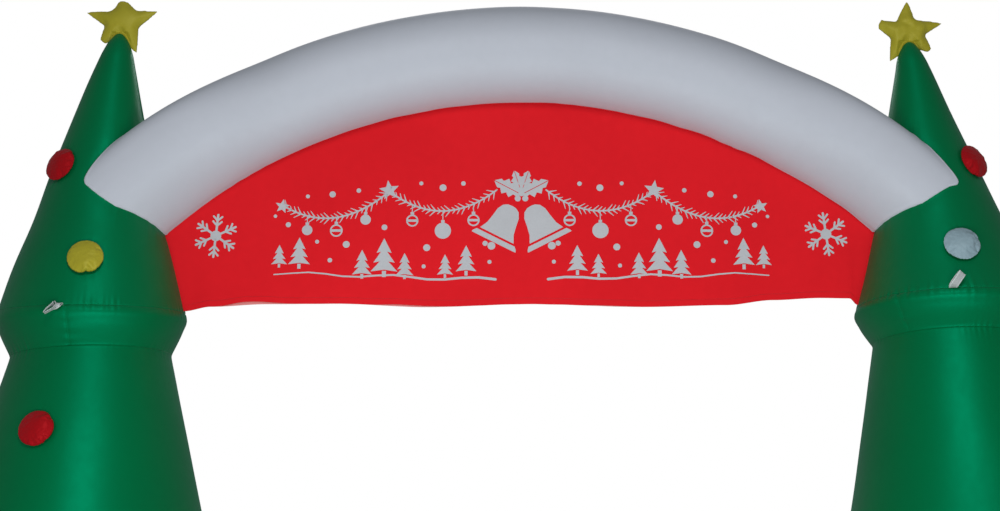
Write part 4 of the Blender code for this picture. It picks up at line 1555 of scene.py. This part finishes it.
def make_loop(spec):
    """A ribbon that leaves the ridge seam straight outwards, leans over, turns and comes back."""
    middles, wides = loop_line(spec)
    run = np.concatenate(([0.0], np.cumsum(np.linalg.norm(np.diff(middles, axis=0), axis=1))))
    side = np.linspace(-1, 1, 9)[None, :, None]
    thick = np.cross(np.gradient(middles, axis=0), wides)
    thick /= np.linalg.norm(thick, axis=1)[:, None]
    aside = side * RIBBON_WIDTH / 2
    points = middles[:, None] + wides[:, None] * aside + thick[:, None] * LOOP_CURL * side**2
    uv = np.stack(np.broadcast_arrays(run[:, None], aside[..., 0]), axis=-1)
    name = f"{spec['name']}_ribbon"
    mesh = grid_mesh(name, points, uv, cloths["ribbon"])
    piece = add_piece(name, mesh, "ribbon", spec["name"])
    thickness = piece.modifiers.new("cloth", "SOLIDIFY")
    thickness.thickness = RIBBON_THICKNESS
    thickness.offset = 0.0


# Studio


def make_floor():
    """A plain pale floor."""
    h = FLOOR_HALF
    mesh = bpy.data.meshes.new("floor")
    mesh.from_pydata([(-h, -h, 0), (h, -h, 0), (h, h, 0), (-h, h, 0)], [], [(0, 1, 2, 3)])
    mesh.materials.append(matt("floor", FLOOR_COLOUR, 0.7))
    floor = bpy.data.objects.new("floor", mesh)
    bpy.context.scene.collection.objects.link(floor)


def make_light(name, place, aim, size, power, spread):
    """A soft box, shining from its place towards its aim."""
    data = bpy.data.lights.new(name, "AREA")
    data.shape = "RECTANGLE"
    data.size, data.size_y = size
    data.energy = power
    data.spread = math.radians(spread)
    light = bpy.data.objects.new(name, data)
    light.location = place
    light.rotation_euler = (Vector(aim) - Vector(place)).to_track_quat("-Z", "Y").to_euler()
    light.visible_camera = False
    bpy.context.scene.collection.objects.link(light)


def make_world():
    """Even pale light on the object, and a white backdrop for the camera."""
    world = bpy.data.worlds.new("studio")
    bpy.context.scene.world = world
    world.use_nodes = True
    tree = world.node_tree
    rays = tree.nodes.new("ShaderNodeLightPath")
    choose = tree.nodes.new("ShaderNodeMixShader")
    tree.links.new(rays.outputs["Is Camera Ray"], choose.inputs[0])
    shaders = (tree.nodes["Background"], tree.nodes.new("ShaderNodeBackground"))
    for node, (colour, strength), socket in zip(shaders, (AMBIENT, BACKDROP), choose.inputs[1:]):
        node.inputs["Color"].default_value = colour
        node.inputs["Strength"].default_value = strength
        tree.links.new(node.outputs[0], socket)
    tree.links.new(choose.outputs[0], tree.nodes["World Output"].inputs[0])
    bpy.context.scene.view_settings.view_transform = "Standard"


DENTED_PANELS = (0, 2)
BAUBLE_DENT_RADIUS = 0.055


def sewn_places(tower, joint):
    """What dents a tower: the tube's joint and each bauble, as (ring, reach, depth, seed)."""
    places = [(joint, 0.030, 0.0020, 81)]
    turns = np.linspace(0, TAU, 48, endpoint=False)
    circle = np.stack((np.sin(turns), 0 * turns, np.cos(turns)), axis=-1) * BAUBLE_DENT_RADIUS
    for number, (_, owner, z, heading, _) in enumerate(BAUBLES):
        if owner == tower:
            spot = np.array(surface_frame(tower, z, heading))
            places.append((circle @ spot[:3, :3].T + spot[:3, 3], 0.016, 0.0022, 90 + number))
    return places


make_camera()
cloths = make_materials()

turns = tube_turns()
joint_ends = {tower: [joint_angle(tower, turn) for turn in turns] for tower in TOWERS}
tube_skin(turns, joint_ends)
for tower in TOWERS:
    joint = np.array([tube_point(angle, turn, 0.0) for angle, turn in zip(joint_ends[tower], turns)])
    dents = sewn_places(tower, joint)
    for index in range(len(PANEL_ENDS)):
        tower_skin(tower, index, dents if index in DENTED_PANELS else ())
banner_cloth()
banner_print()
hem_stitches()
for tower in STARS:
    make_star(tower)
for number, bauble in enumerate(BAUBLES):
    make_bauble(*bauble, BAUBLE_SEED + number)
for loop in LOOPS:
    make_loop(loop)
make_floor()
for light in LIGHTS:
    make_light(*light)
make_world()
